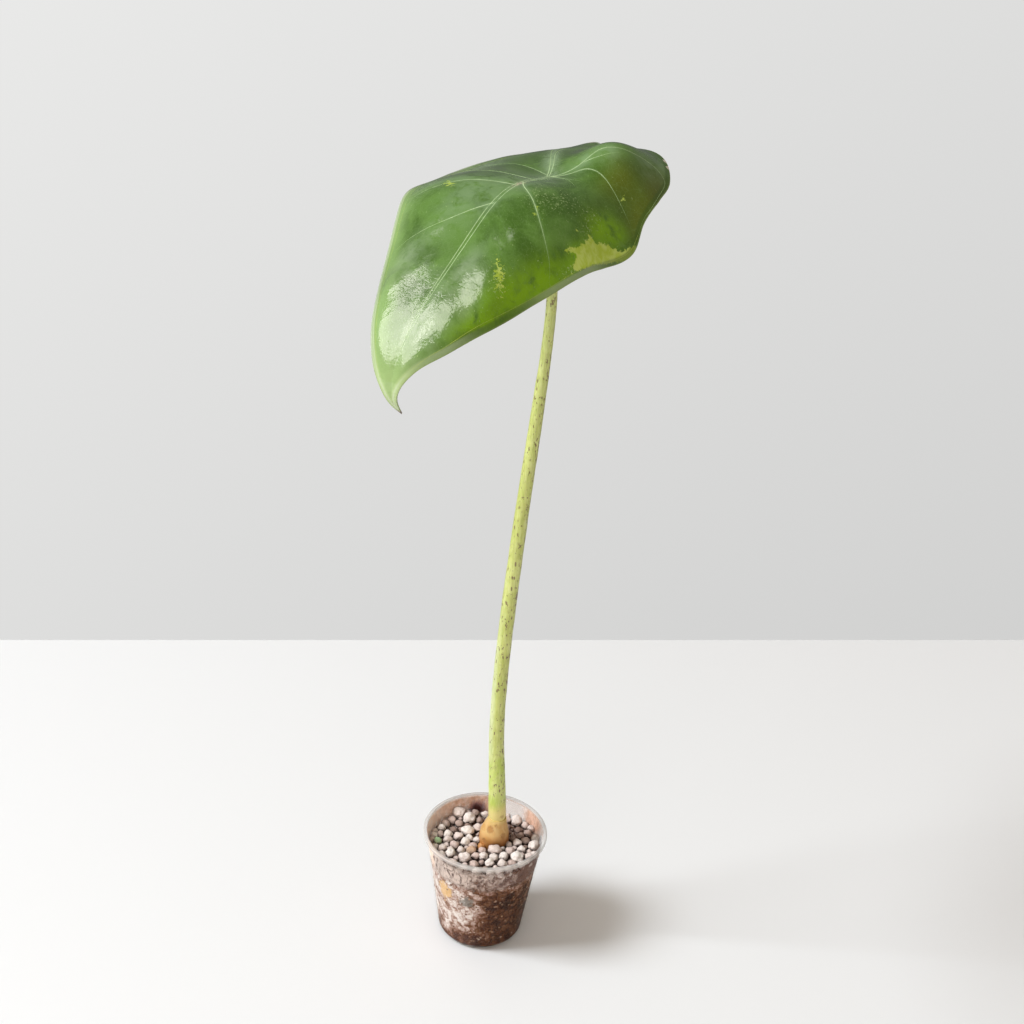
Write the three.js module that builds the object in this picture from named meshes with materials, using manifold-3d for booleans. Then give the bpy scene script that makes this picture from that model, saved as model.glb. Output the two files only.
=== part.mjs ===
// Potted alocasia: a young plant with one long-stalked, arrow-shaped leaf, growing from a small corm
// in pumice and potting mix inside a clear tapered cup.
// Millimetres, +Z up. The origin is the middle of the cup's foot, on the surface that the cup stands on.
// The leaf's tip points forward (-Y) and a little to the left (-X).

import * as THREE from 'three';
import { mergeVertices } from 'three/addons/utils/BufferGeometryUtils.js';
import Module from 'manifold-3d';

// Clearance between pieces that touch
const gap = 0.3;

// Clear tapered cup with a rounded foot and a rolled lip
const cup = {
  height: 67,
  rimRadius: 35,
  wallTopRadius: 33.6,
  wallFootRadius: 25.2,
  footCorner: 4.5,
  lipHeight: 2.4,
  lipRound: 0.9,
  lipDrop: 0.2,
  wall: 0.8,
  floor: 1.2,
  sides: 64,
};

// Potting mix: fills the cup up to the pumice
const mix = { top: 52 };

// Pumice: a bed that falls away towards the back of the cup, with rounded stones sunk into it. Between the
// marked stones others are laid, the largest first. The shares are of a stone's own radius.
const pumice = {
  bedTop: 57,
  bedSlope: -0.06,
  seed: 11,
  tries: 3000,
  largest: 3,
  smallest: 1.8,
  packing: 0.82,
  markedRise: 0.6,
  rise: 0.45,
  wallShare: 0.6,
  cormShare: 0.4,
  plainBelow: 3,
};

// A stone's stretch along X, Y and Z: the least, and how much a draw adds
const stoneStretch = [[0.9, 0.25], [0.9, 0.2], [0.85, 0.2]];

// The stones that stand out in the cup: x, y and radius
const markedStones = [
  [-16.3, 25.2, 3.7], [-10, 20.1, 3.7], [-10.3, 7.2, 3.7], [-4.6, 11.2, 3.1], [-15.2, 2.3, 2.8],
  [-25.1, 9.5, 2.6], [-23.4, -10, 2.5], [-18.6, -14.7, 2.9], [-10.8, -3.2, 2.8], [-10.6, -18.1, 3.4],
  [0.1, -15, 2.8], [5.9, -9.6, 3.8], [3.7, -20.8, 2.8], [11.2, -14.3, 3.1], [18.4, -0.7, 2.8],
  [20.9, -6.4, 2.5], [18.7, -14.6, 3.4], [25, -12.4, 2.4], [28, -2.4, 3.3], [29, 5.4, 2.4],
  [17.8, 20.9, 3.4], [26.4, 15.5, 2.4], [-0.5, 26.5, 2.2], [-29, 2.4, 2.2],
];
const greenStone = { x: -26.4, y: -3.9, z: 59.6, radius: 2.3 };
const tanStone = { x: -7.4, y: -10.3, z: 59.4, radius: 2.9 };

// Corm: x, y, z and radius of its rings, from its root end to its neck, with one root stub
const cormRings = [
  [4.4, 1.2, 45, 2.6], [4.6, 1.4, 48, 5.6], [4.9, 1.8, 53, 7.6], [5.0, 2.0, 58, 8.3],
  [5.1, 2.0, 63, 8.3], [5.3, 2.0, 67, 7.5], [5.8, 2.0, 71, 6.1], [6.2, 2.0, 74.6, 5.1],
];
const rootStub = { x: -1.6, y: -4.6, z: 57.6, radius: 2.7 };
const cormSides = 20;
const cormStep = 3;

// Petiole, the leaf's stalk: x, y, z and radius along its middle line
const petioleRings = [
  [6.2, 2, 74.9, 5.0], [4.6, 2.5, 100, 4.7], [2.7, 4, 130, 4.15], [2.8, 5.5, 165, 4.0],
  [4.8, 7, 210, 3.9], [8, 8, 260, 3.6], [11.9, 9, 312, 3.25], [14.8, 9, 355, 2.7],
  [14.9, 7, 384, 2.6], [12, 2.6, 410, 2.5], [9.5, -0.6, 427, 2.6], [9.2, -1, 432.7, 2.8],
];
const petioleSides = 16;
const petioleStep = 8;

// Leaf blade. Its flat outline is given along the midrib (s, the tip side positive) and across it (w),
// both measured from the stalk. Values every 20 mm along the blade, from 80 mm behind the stalk to its
// tip, then bend the flat blade: how steeply the midrib climbs, and how far each half curls down.
const blade = {
  stalkTop: [9.2, -1, 434.3],
  headingDegrees: 240,
  firstStation: -80,
  stationStep: 20,
  climbDegrees: [0, -1, -11, -7, 5, 3, -16, -36, -36, -33, -46, -71, -135],
  nearCurlDegrees: [16, 31, 37, 32, 44, 59, 65, 67, 62, 52, 40, 24, 10],
  farCurlDegrees: [42, 28, 16, 10, 13, 20, 21, 24, 28, 29, 23, 12, 0],
  curlWidth: [46, 48, 50, 51, 52, 53, 52, 48, 41, 33, 22, 10, 4],
  pillow: 2,
  pillowWidth: 50,
  creaseFrom: -10,
  creaseTo: 20,
  lobeRises: [[-31, 17, 12.5], [-57, -23, -2.5]],
  lobeRiseRadius: 15,
  thickness: 0.8,
  midribDepth: 1.4,
  midribWidth: 1.6,
  midribFade: 6,
  length: 163,
  veinLean: 0.4,
};
const nearOutline = [
  [-46, 1], [-54, 4], [-62, 10], [-66, 19], [-61, 30.5], [-46, 41], [-28, 45], [-10, 48.5], [6, 58],
  [24, 57.5], [42, 55], [60, 51], [84, 39.5], [106, 30], [124, 20.5], [138, 9.5], [149, 3],
  [158, 1.2], [163, 0],
];
const farOutline = [
  [-46, -1], [-56, -4], [-68, -9], [-76, -19], [-68, -33], [-48, -45], [-28, -49], [-8, -53.5],
  [12, -52.5], [36, -54.5], [60, -48.5], [84, -40], [106, -29], [124, -20.5], [138, -12.5],
  [149, -5.5], [158, -1.6], [163, 0],
];

// How finely the blade is faceted: points on each half's outline, rays in each rear lobe, ribs in front of
// the stalk, which crowd towards the tip, and the facets' corners from the midrib (0) to the margin (1)
const outlineSteps = 600;
const lobeRays = 20;
const frontRibs = 26;
const tipCrowding = 1.4;
const ribSteps = [0, 0.03, 0.08, 0.2, 0.36, 0.54, 0.72, 0.88, 1];

const wasm = await Module();
wasm.setup();

// Joins the points that coincide and drops the faces that have shrunk to a line
function welded(geometry) {
  geometry.deleteAttribute('normal');
  geometry.deleteAttribute('uv');
  const merged = mergeVertices(geometry, 1e-3);
  const index = merged.getIndex().array;
  const kept = [];
  for (let i = 0; i < index.length; i += 3) {
    const [a, b, c] = index.slice(i, i + 3);
    if (a !== b && b !== c && c !== a) kept.push(a, b, c);
  }
  merged.setIndex(kept);
  return merged;
}

function toSolid(geometry) {
  const closed = welded(geometry);
  return new wasm.Manifold(new wasm.Mesh({
    numProp: 3,
    vertProperties: new Float32Array(closed.getAttribute('position').array),
    triVerts: new Uint32Array(closed.getIndex().array),
  }));
}

function toGeometry(solid) {
  const mesh = solid.getMesh();
  const geometry = new THREE.BufferGeometry();
  geometry.setAttribute('position', new THREE.BufferAttribute(mesh.vertProperties, 3));
  geometry.setIndex(new THREE.BufferAttribute(mesh.triVerts, 1));
  return geometry;
}

// A turned body about the Z axis, from a profile of [radius, height] points
function turned(profile) {
  const points = profile.map(([radius, height]) => new THREE.Vector2(radius, height));
  return new THREE.LatheGeometry(points, cup.sides).rotateX(Math.PI / 2);
}

// Points of a round corner about a centre, from one angle to another in degrees
function corner(radius, height, size, from, to, steps = 5) {
  const points = [];
  for (let i = 0; i <= steps; i += 1) {
    const angle = THREE.MathUtils.degToRad(from + ((to - from) * i) / steps);
    points.push([radius + size * Math.cos(angle), height + size * Math.sin(angle)]);
  }
  return points;
}

// Radius of the cup's outer wall at a height
function wallRadius(height) {
  const rise = (height - cup.footCorner) / (cup.height - cup.lipHeight - cup.footCorner);
  return cup.wallFootRadius + (cup.wallTopRadius - cup.wallFootRadius) * rise;
}

// A body of level round rings along a rising curve through [x, y, z, radius], with a flat face at each end
function ringed(rings, sides, step, grow = 0) {
  const middle = new THREE.CatmullRomCurve3(rings.map(([x, y, z]) => new THREE.Vector3(x, y, z)));
  const sizes = new THREE.SplineCurve(rings.map((ring, i) => new THREE.Vector2(i, ring[3])));
  const levels = Math.max(rings.length, Math.round(middle.getLength() / step));
  const positions = [];
  const index = [];
  for (let i = 0; i <= levels; i += 1) {
    const centre = middle.getPoint(i / levels);
    const radius = sizes.getPoint(i / levels).y + grow;
    for (let k = 0; k < sides; k += 1) {
      const angle = (2 * Math.PI * k) / sides;
      positions.push(centre.x + radius * Math.cos(angle), centre.y + radius * Math.sin(angle), centre.z);
      if (i < levels) {
        const here = i * sides + k;
        const next = i * sides + ((k + 1) % sides);
        index.push(here, next, next + sides, here, next + sides, here + sides);
      }
    }
  }
  const first = middle.getPoint(0);
  const last = middle.getPoint(1);
  const end = positions.length / 3;
  positions.push(first.x, first.y, first.z, last.x, last.y, last.z);
  for (let k = 0; k < sides; k += 1) {
    const next = (k + 1) % sides;
    index.push(end, next, k, end + 1, levels * sides + k, levels * sides + next);
  }
  const geometry = new THREE.BufferGeometry();
  geometry.setAttribute('position', new THREE.Float32BufferAttribute(positions, 3));
  geometry.setIndex(index);
  return geometry;
}

// A rounded stone: a ball of few faces, squashed and turned by its own three draws
function stone(x, y, z, radius, draws = [0.5, 0.5, 0.5]) {
  const geometry = new THREE.IcosahedronGeometry(radius, radius > pumice.plainBelow ? 1 : 0);
  geometry.scale(...stoneStretch.map(([least, more], i) => least + more * draws[i]));
  geometry.rotateY(draws[0]);
  geometry.rotateZ(2 * Math.PI * draws[2]);
  geometry.translate(x, y, z);
  return geometry;
}

// A stone of another colour, grown by a clearance where it is used to cut its seat among the pumice
function looseStone({ x, y, z, radius }, grow = 0) {
  return stone(x, y, z, radius + grow);
}

// The round inside corner of the foot, from the level of a floor up to the wall
function insideCorner(size, floor) {
  const start = THREE.MathUtils.radToDeg(Math.asin((floor - cup.footCorner) / size));
  return corner(cup.wallFootRadius - cup.footCorner, cup.footCorner, size, start, 0);
}

// The cup: outer wall, rolled lip, inner wall and floor
function makeCup() {
  const { wall, floor, footCorner, lipHeight, lipRound, lipDrop, height } = cup;
  const lipFoot = height - lipHeight;
  return turned([
    [0, 0],
    ...corner(cup.wallFootRadius - footCorner, footCorner, footCorner, -90, 0),
    [cup.wallTopRadius, lipFoot],
    [cup.rimRadius, lipFoot + lipDrop],
    ...corner(cup.rimRadius - lipRound, height - lipRound, lipRound, 0, 90, 3),
    [cup.wallTopRadius - wall / 2, height - lipDrop],
    [cup.wallTopRadius - wall, lipFoot],
    ...insideCorner(footCorner - wall, floor).reverse(),
    [0, floor],
  ]);
}

// The space inside the cup, less the clearance, up to a height
function insideCup(top) {
  const bottom = cup.floor + gap;
  return turned([
    [0, bottom],
    ...insideCorner(cup.footCorner - cup.wall - gap, bottom),
    [wallRadius(top) - cup.wall - gap, top],
    [0, top],
  ]);
}

// The corm with its root stub, grown by a clearance where it is used to cut its seat
function cormSolid(grow = 0) {
  const body = toSolid(ringed(cormRings, cormSides, cormStep, grow));
  const stub = stone(rootStub.x, rootStub.y, rootStub.z, rootStub.radius + grow);
  return body.add(toSolid(stub));
}

// A repeatable draw between 0 and 1, so that the stones always fall the same way
let drawState = pumice.seed;
function draw() {
  drawState = (drawState * 16807) % 2147483647;
  return drawState / 2147483647;
}

// Where every stone lies, as x, y, z and radius: the marked ones, then others in the spaces between them
function layStones() {
  const edge = wallRadius(pumice.bedTop) - cup.wall;
  const bedHeight = (y) => pumice.bedTop + pumice.bedSlope * y;
  const widest = cormRings.reduce((most, ring) => (ring[3] > most[3] ? ring : most));
  const taken = [greenStone, tanStone, rootStub].map(({ x, y, radius }) => [x, y, 0, radius]);
  const stones = markedStones.map(([x, y, r]) => [x, y, bedHeight(y) + pumice.markedRise * r, r]);
  for (let i = 0; i < pumice.tries; i += 1) {
    const radius = THREE.MathUtils.lerp(pumice.largest, pumice.smallest, i / pumice.tries);
    const reach = (edge - pumice.wallShare * radius) * Math.sqrt(draw());
    const angle = 2 * Math.PI * draw();
    const x = reach * Math.cos(angle);
    const y = reach * Math.sin(angle);
    const clearOfStones = [...stones, ...taken].every(([stoneX, stoneY, , stoneRadius]) => (
      Math.hypot(x - stoneX, y - stoneY) > pumice.packing * (radius + stoneRadius)));
    const clearOfCorm = Math.hypot(x - widest[0], y - widest[1]) > widest[3] + pumice.cormShare * radius;
    if (clearOfStones && clearOfCorm) stones.push([x, y, bedHeight(y) + pumice.rise * radius, radius]);
  }
  return stones;
}

function makeMix() {
  return toSolid(insideCup(mix.top)).subtract(cormSolid(gap));
}

function makePumice() {
  const bottom = mix.top + gap;
  const bed = turned([
    [0, bottom], [cup.rimRadius, bottom], [cup.rimRadius, pumice.bedTop], [0, pumice.bedTop],
  ]);
  const place = bed.getAttribute('position');
  const middle = (bottom + pumice.bedTop) / 2;
  for (let i = 0; i < place.count; i += 1) {
    if (place.getZ(i) > middle) place.setZ(i, pumice.bedTop + pumice.bedSlope * place.getY(i));
  }
  let solid = toSolid(bed);
  for (const [x, y, z, radius] of layStones()) {
    solid = solid.add(toSolid(stone(x, y, z, radius, [draw(), draw(), draw()])));
  }
  return solid
    .intersect(toSolid(insideCup(cup.height - cup.lipHeight)))
    .subtract(cormSolid(gap))
    .subtract(toSolid(looseStone(greenStone, gap)))
    .subtract(toSolid(looseStone(tanStone, gap)));
}

// A value along the blade, on a smooth curve through the values given at its stations
function along(values, s) {
  const last = values.length - 1;
  const place = THREE.MathUtils.clamp((s - blade.firstStation) / blade.stationStep, 0, last - 1e-9);
  const i = Math.floor(place);
  const f = place - i;
  const [a, b, c, d] = [i - 1, i, i + 1, i + 2].map((k) => values[THREE.MathUtils.clamp(k, 0, last)]);
  const square = 2 * a - 5 * b + 4 * c - d;
  const cube = 3 * b - 3 * c + d - a;
  return b + 0.5 * ((c - a) * f + square * f ** 2 + cube * f ** 3);
}

// The bent midrib, stepped out both ways from the stalk to just past the tip: forward distance and height
function bendMidrib() {
  const line = new Map([[0, [0, 0]]]);
  for (const direction of [1, -1]) {
    for (let s = direction; Math.abs(s) <= blade.length + 2; s += direction) {
      const climb = THREE.MathUtils.degToRad(along(blade.climbDegrees, s - 0.5 * direction));
      const [forward, height] = line.get(s - direction);
      line.set(s, [forward + direction * Math.cos(climb), height + direction * Math.sin(climb)]);
    }
  }
  return line;
}
const midrib = bendMidrib();

// The bent blade's point for a place on the flat one
function bladePoint(s, w) {
  const heading = THREE.MathUtils.degToRad(blade.headingDegrees);
  const ahead = new THREE.Vector3(Math.cos(heading), Math.sin(heading), 0);
  const nearSide = new THREE.Vector3(-Math.sin(heading), Math.cos(heading), 0);
  const climb = THREE.MathUtils.degToRad(along(blade.climbDegrees, s));
  const lift = ahead.clone().multiplyScalar(-Math.sin(climb));
  lift.z = Math.cos(climb);

  const whole = Math.floor(s);
  const [fromForward, fromHeight] = midrib.get(whole);
  const [toForward, toHeight] = midrib.get(whole + 1);
  const forward = fromForward + (toForward - fromForward) * (s - whole);
  const height = fromHeight + (toHeight - fromHeight) * (s - whole);

  const curls = w > 0 ? blade.nearCurlDegrees : blade.farCurlDegrees;
  const curl = Math.max(THREE.MathUtils.degToRad(along(curls, s)), 1e-3);
  const width = Math.max(along(blade.curlWidth, s), 1);
  const share = Math.abs(w) / width;
  const out = (Math.sign(w) * width * Math.sin(curl * share)) / curl;
  const drop = (width * (1 - Math.cos(curl * share))) / curl;
  const crease = 2 - THREE.MathUtils.smoothstep(s, blade.creaseFrom, blade.creaseTo);
  const swell = Math.sin(Math.PI * Math.min(share, 1)) ** crease;
  const pillow = blade.pillow * swell * Math.min(width / blade.pillowWidth, 1);
  const rise = blade.lobeRises.reduce((sum, [riseS, riseW, size]) => (
    sum + size * Math.exp(-((s - riseS) ** 2 + (w - riseW) ** 2) / (2 * blade.lobeRiseRadius ** 2))), 0);

  const point = new THREE.Vector3(...blade.stalkTop);
  point.addScaledVector(ahead, forward);
  point.z += height;
  return point.addScaledVector(nearSide, out).addScaledVector(lift, pillow - drop + rise);
}

// The blade's upward normal, from points a small step away on each side
function bladeNormal(s, w) {
  const step = 0.25;
  const forward = bladePoint(s + step, w).sub(bladePoint(s - step, w));
  const side = bladePoint(s, w + step).sub(bladePoint(s, w - step));
  return forward.cross(side).normalize();
}

// How far the blade's underside lies below its middle: the leaf's own half thickness, and the midrib
function underside(s, w) {
  const fade = s > 0 ? 1 - s / blade.length : Math.exp(s / blade.midribFade);
  return blade.thickness / 2 + blade.midribDepth * fade * Math.exp(-((w / blade.midribWidth) ** 2));
}

// The ribs of one half of the blade, each as its foot on the midrib and its end on the margin. Rays from
// the stalk fill the rear lobe, and in front the ribs leave the midrib at a slant, as the veins do.
function ribsOf(outline) {
  const corners = outline.map(([s, w]) => new THREE.Vector2(s, w));
  const margin = new THREE.SplineCurve(corners).getPoints(outlineSteps);
  const foot = (point) => point.x - blade.veinLean * Math.abs(point.y);
  const split = margin.findIndex((point) => foot(point) >= 0);
  const ribs = [];
  const rear = new THREE.SplineCurve(margin.slice(0, split + 1));
  rear.getSpacedPoints(lobeRays).forEach((end) => ribs.push([0, end]));
  for (let i = 1; i <= frontRibs; i += 1) {
    const from = blade.length * (1 - (1 - i / frontRibs) ** tipCrowding);
    const end = margin.find((point, k) => k > split && foot(point) >= from) ?? margin.at(-1);
    ribs.push([from, end]);
  }
  return ribs;
}

// The blade: an upper and a lower face with the same triangles, joined round the margin
function makeBlade() {
  const loop = [...ribsOf(farOutline), ...ribsOf(nearOutline).reverse().slice(1)];
  const positions = [];
  const index = [];
  const rows = ribSteps.length;
  for (const face of [1, -1]) {
    for (const [from, end] of loop) {
      for (const t of ribSteps) {
        const s = from + (end.x - from) * t;
        const w = end.y * t;
        const offset = face > 0 ? blade.thickness / 2 : -underside(s, w);
        const point = bladePoint(s, w).addScaledVector(bladeNormal(s, w), offset);
        positions.push(point.x, point.y, point.z);
      }
    }
  }
  const lower = loop.length * rows;
  for (let i = 0; i < loop.length; i += 1) {
    const here = i * rows;
    const next = ((i + 1) % loop.length) * rows;
    for (let k = 0; k + 1 < rows; k += 1) {
      const [a, b, c, d] = [here + k, here + k + 1, next + k + 1, next + k];
      index.push(a, b, c, a, c, d);
      index.push(lower + a, lower + c, lower + b, lower + a, lower + d, lower + c);
    }
    const [edge, nextEdge] = [here + rows - 1, next + rows - 1];
    index.push(edge, lower + edge, lower + nextEdge, edge, lower + nextEdge, nextEdge);
  }
  const geometry = new THREE.BufferGeometry();
  geometry.setAttribute('position', new THREE.Float32BufferAttribute(positions, 3));
  geometry.setIndex(index);
  return geometry;
}

const plant = new THREE.Group();

function addPiece(name, geometry, color, roughness, options = {}) {
  const material = new THREE.MeshStandardMaterial({ color, roughness, metalness: 0, ...options });
  const mesh = new THREE.Mesh(geometry, material);
  mesh.name = name;
  plant.add(mesh);
}

addPiece('cup', welded(makeCup()), 0xdfe4e4, 0.2, { transparent: true, opacity: 0.35 });
addPiece('potting_mix', toGeometry(makeMix()), 0x6b4a3a, 0.95);
addPiece('pumice_stones', toGeometry(makePumice()), 0xd9cfc8, 0.9);
addPiece('green_stone', welded(looseStone(greenStone)), 0x6fa564, 0.85);
addPiece('tan_stone', welded(looseStone(tanStone)), 0xc9966a, 0.85);
addPiece('corm', toGeometry(cormSolid()), 0xc98f45, 0.7);
addPiece('petiole', welded(ringed(petioleRings, petioleSides, petioleStep)), 0xa9bf62, 0.45);
addPiece('leaf_blade', welded(makeBlade()), 0x3f6e2e, 0.35);

export default plant;
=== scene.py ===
import math
import random

import bpy
import numpy as np
from mathutils import Matrix, Vector


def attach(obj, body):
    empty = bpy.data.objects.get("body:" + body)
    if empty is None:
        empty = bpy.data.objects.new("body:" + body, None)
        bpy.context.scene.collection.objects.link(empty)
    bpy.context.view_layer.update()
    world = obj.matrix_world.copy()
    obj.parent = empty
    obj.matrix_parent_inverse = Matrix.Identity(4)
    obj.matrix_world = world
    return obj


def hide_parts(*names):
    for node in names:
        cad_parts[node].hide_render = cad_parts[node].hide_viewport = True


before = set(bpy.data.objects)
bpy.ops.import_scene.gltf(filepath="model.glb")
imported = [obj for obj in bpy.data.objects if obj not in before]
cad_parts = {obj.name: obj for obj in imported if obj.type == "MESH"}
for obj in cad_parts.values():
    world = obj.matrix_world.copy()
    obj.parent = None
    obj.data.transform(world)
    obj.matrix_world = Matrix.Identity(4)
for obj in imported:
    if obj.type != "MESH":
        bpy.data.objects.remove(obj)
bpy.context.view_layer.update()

# A young alocasia in a small clear cup. Sizes, in the shaders too, are millimetres unless a note says
# otherwise, and become metres where a mesh is made.
mm = 0.001


# Tools that every piece uses

def pickOnly(piece=None):
    if bpy.context.object and bpy.context.object.mode != "OBJECT":
        bpy.ops.object.mode_set(mode="OBJECT")
    bpy.ops.object.select_all(action="DESELECT")
    if piece:
        piece.select_set(True)
        bpy.context.view_layer.objects.active = piece


def settle(piece):
    # the place goes into the mesh, so the object ends at the origin, unturned
    pickOnly(piece)
    bpy.ops.object.transform_apply(location=True, rotation=True, scale=True)


def smooth(piece, degrees=60):
    pickOnly(piece)
    bpy.ops.object.shade_smooth_by_angle(angle=math.radians(degrees))


def mergeDoubles(piece, nearness, faceOutward=False):
    pickOnly(piece)
    bpy.ops.object.mode_set(mode="EDIT")
    bpy.ops.mesh.select_all(action="SELECT")
    bpy.ops.mesh.remove_doubles(threshold=nearness)
    if faceOutward:
        bpy.ops.mesh.normals_make_consistent(inside=False)
    bpy.ops.object.mode_set(mode="OBJECT")


def applyAll(piece):
    pickOnly(piece)
    for modifier in list(piece.modifiers):
        bpy.ops.object.modifier_apply(modifier=modifier.name)


def displace(piece, name, size, strength):
    texture = bpy.data.textures.new(name, type="CLOUDS")
    texture.noise_scale = size * mm
    texture.noise_depth = 3
    modifier = piece.modifiers.new(name, "DISPLACE")
    modifier.texture = texture
    modifier.texture_coords = "LOCAL"
    modifier.mid_level = 0.5
    modifier.strength = strength * mm


def finishPiece(piece, name, materials, slotName, *nodes):
    piece.name = name
    piece.data.name = name
    piece.data.materials.clear()
    for material in materials:
        piece.data.materials.append(material)
    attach(piece, "root")
    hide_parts(*nodes)


def ringBody(rings, sides):
    # a ring is x, y, z and radius; each is extruded from the last one, and both ends are closed
    x, y, z, radius = (value * mm for value in rings[0])
    pickOnly()
    bpy.ops.mesh.primitive_circle_add(
        vertices=sides, radius=radius, location=(x, y, z), fill_type="TRIFAN")
    piece = bpy.context.object
    settle(piece)
    bpy.ops.object.mode_set(mode="EDIT")
    bpy.ops.mesh.select_mode(type="EDGE")
    bpy.ops.mesh.select_all(action="SELECT")
    bpy.ops.mesh.region_to_loop()
    for ring in rings[1:]:
        nextX, nextY, nextZ, nextRadius = (value * mm for value in ring)
        bpy.ops.mesh.extrude_edges_move(
            TRANSFORM_OT_translate={"value": (nextX - x, nextY - y, nextZ - z)})
        factor = nextRadius / radius
        bpy.ops.transform.resize(value=(factor, factor, 1), center_override=(nextX, nextY, nextZ))
        x, y, z, radius = nextX, nextY, nextZ, nextRadius
    bpy.ops.mesh.extrude_edges_move(TRANSFORM_OT_translate={"value": (0, 0, 0)})
    bpy.ops.mesh.merge(type="CENTER")
    mergeDoubles(piece, 1e-6, faceOutward=True)
    return piece


def curveAt(values, place):
    # smooth curve through the values, at places that count them from 0
    values = np.array(values, float)
    last = len(values) - 1
    i = np.minimum(np.floor(place).astype(int), last - 1)
    f = place - i
    if values.ndim > 1:
        f = f[:, None]
    a, b, c, d = (values[np.clip(i + k, 0, last)] for k in (-1, 0, 1, 2))
    square = 2 * a - 5 * b + 4 * c - d
    cube = 3 * b - 3 * c + d - a
    return b + 0.5 * ((c - a) * f + square * f ** 2 + cube * f ** 3)


def splineThrough(points, steps):
    last = len(points) - 1
    return curveAt(points, np.linspace(0, last, steps * last + 1))


def spaced(points, count):
    # the same line with its points at even distances
    lengths = np.concatenate([[0], np.cumsum(np.linalg.norm(np.diff(points, axis=0), axis=1))])
    places = np.linspace(0, lengths[-1], count)
    return np.stack([np.interp(places, lengths, points[:, k]) for k in range(points.shape[1])], 1)


def tubeAlong(points, radii, roundness):
    # points and radii in metres; a bevelled line turned into a mesh, closed at both ends
    pickOnly()
    bpy.ops.curve.primitive_nurbs_path_add()
    line = bpy.context.object
    line.data.splines.clear()
    strand = line.data.splines.new("POLY")
    strand.points.add(len(points) - 1)
    for spot, place, radius in zip(strand.points, points, radii):
        spot.co = (*place, 1)
        spot.radius = radius
    line.data.dimensions = "3D"
    line.data.bevel_depth = 1
    line.data.bevel_resolution = roundness
    line.data.use_fill_caps = True
    bpy.ops.object.convert(target="MESH")
    piece = bpy.context.object
    settle(piece)
    mergeDoubles(piece, 1e-6, faceOutward=True)
    return piece


def joined(pieces):
    pickOnly(pieces[0])
    for piece in pieces[1:]:
        piece.select_set(True)
    bpy.ops.object.join()
    return bpy.context.object


# Tools for materials. What a shader node gives is a Value, which can be added and multiplied like a
# number; amounts and tones run from 0 to 1.

class Value:
    def __init__(self, socket):
        self.socket = socket

    def out(self, key):
        # another output of the same node
        return Value(self.socket.node.outputs[key])

    def __add__(self, other):
        return maths("ADD", self, other)

    def __mul__(self, other):
        return maths("MULTIPLY", self, other)

    def __sub__(self, other):
        return maths("SUBTRACT", self, other)

    def __rsub__(self, other):
        return maths("SUBTRACT", other, self)

    def __abs__(self):
        return maths("ABSOLUTE", self, 0.0)


def startTree(holder):
    # nodes go into this material's or world's tree from here on
    global tree, owner
    owner = holder
    owner.use_nodes = True
    tree = owner.node_tree
    tree.nodes.clear()


def newMaterial(name):
    startTree(bpy.data.materials.new(name))


def add(kind, inputs=None, output=0, **settings):
    made = tree.nodes.new("ShaderNode" + kind)
    for key, value in settings.items():
        setattr(made, key, value)
    for key, value in (inputs or {}).items():
        if isinstance(value, Value):
            tree.links.new(value.socket, made.inputs[key])
        else:
            # a colour's fourth number is its opacity
            made.inputs[key].default_value = (*value, 1) if made.inputs[key].type == "RGBA" else value
    return Value(made.outputs[output]) if made.outputs else None


def maths(operation, first, second):
    return add("Math", {0: first, 1: second}, operation=operation)


def larger(first, second):
    return maths("MAXIMUM", first, second)


def between(value, low, high, start=0.0, end=1.0):
    # from start at low to end at high
    return add("MapRange", {"Value": value, "From Min": low, "From Max": high, "To Min": start,
                            "To Max": end})


def fade(value, low, high):
    # 0 at low, 1 at high, with soft ends
    return add("MapRange", {"Value": value, "From Min": low, "From Max": high},
               interpolation_type="SMOOTHSTEP")


def paint(base, shade, amount, mode="MIX"):
    return add("Mix", {0: amount, 6: base, 7: shade}, 2, data_type="RGBA", blend_type=mode)


def layered(base, shades, **amounts):
    # lays the named shades over the base in this order
    for name, amount in amounts.items():
        base = paint(base, shades[name], amount)
    return base


def shaded(value, shades):
    # shades are pairs of a position and a colour, from the lowest position up
    ramp = add("ValToRGB", {0: value})
    points = ramp.socket.node.color_ramp.elements
    for point, (position, shade) in ((points[0], shades[0]), (points[1], shades[-1])):
        point.position, point.color = position, (*shade, 1)
    for position, shade in shades[1:-1]:
        points.new(position).color = (*shade, 1)
    return ramp


def noise(place, size, detail=4.0, rough=0.55, distortion=0.0):
    # size is the width of a blotch
    return add("TexNoise", {"Vector": place, "Scale": 1 / size, "Detail": detail,
                            "Roughness": rough, "Distortion": distortion}, "Fac")


def cells(place, size, **settings):
    return add("TexVoronoi", {"Vector": place, "Scale": 1 / size}, "Distance", **settings)


def borders(place, size):
    # distance to the nearest border between cells
    return cells(place, size, feature="DISTANCE_TO_EDGE")


def bent(place, size, detail, reach):
    # the place, moved about by noise
    drift = noise(place, size, detail, 0.5).out("Color")
    return add("VectorMath", {0: drift, 1: reach, 2: place}, operation="MULTIPLY_ADD")


def parts(value, kind="XYZ"):
    first = add("Separate" + kind, {0: value})
    return first, first.out(1), first.out(2)


def draw(cell, which=0):
    # one random number for each cell
    return parts(cell.out("Color"), "Color")[which]


def distance(place, point):
    return add("VectorMath", {0: place, 1: point}, "Value", operation="DISTANCE")


def dot(way, direction):
    return add("VectorMath", {0: way, 1: direction}, "Value", operation="DOT_PRODUCT")


def attribute(name, output="Fac"):
    return add("Attribute", None, output, attribute_name=name)


def objectPlace(stretch=(1, 1, 1)):
    scale = [share / mm for share in stretch]
    return add("Mapping", {"Vector": add("TexCoord", None, "Object"), "Scale": scale})


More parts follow.
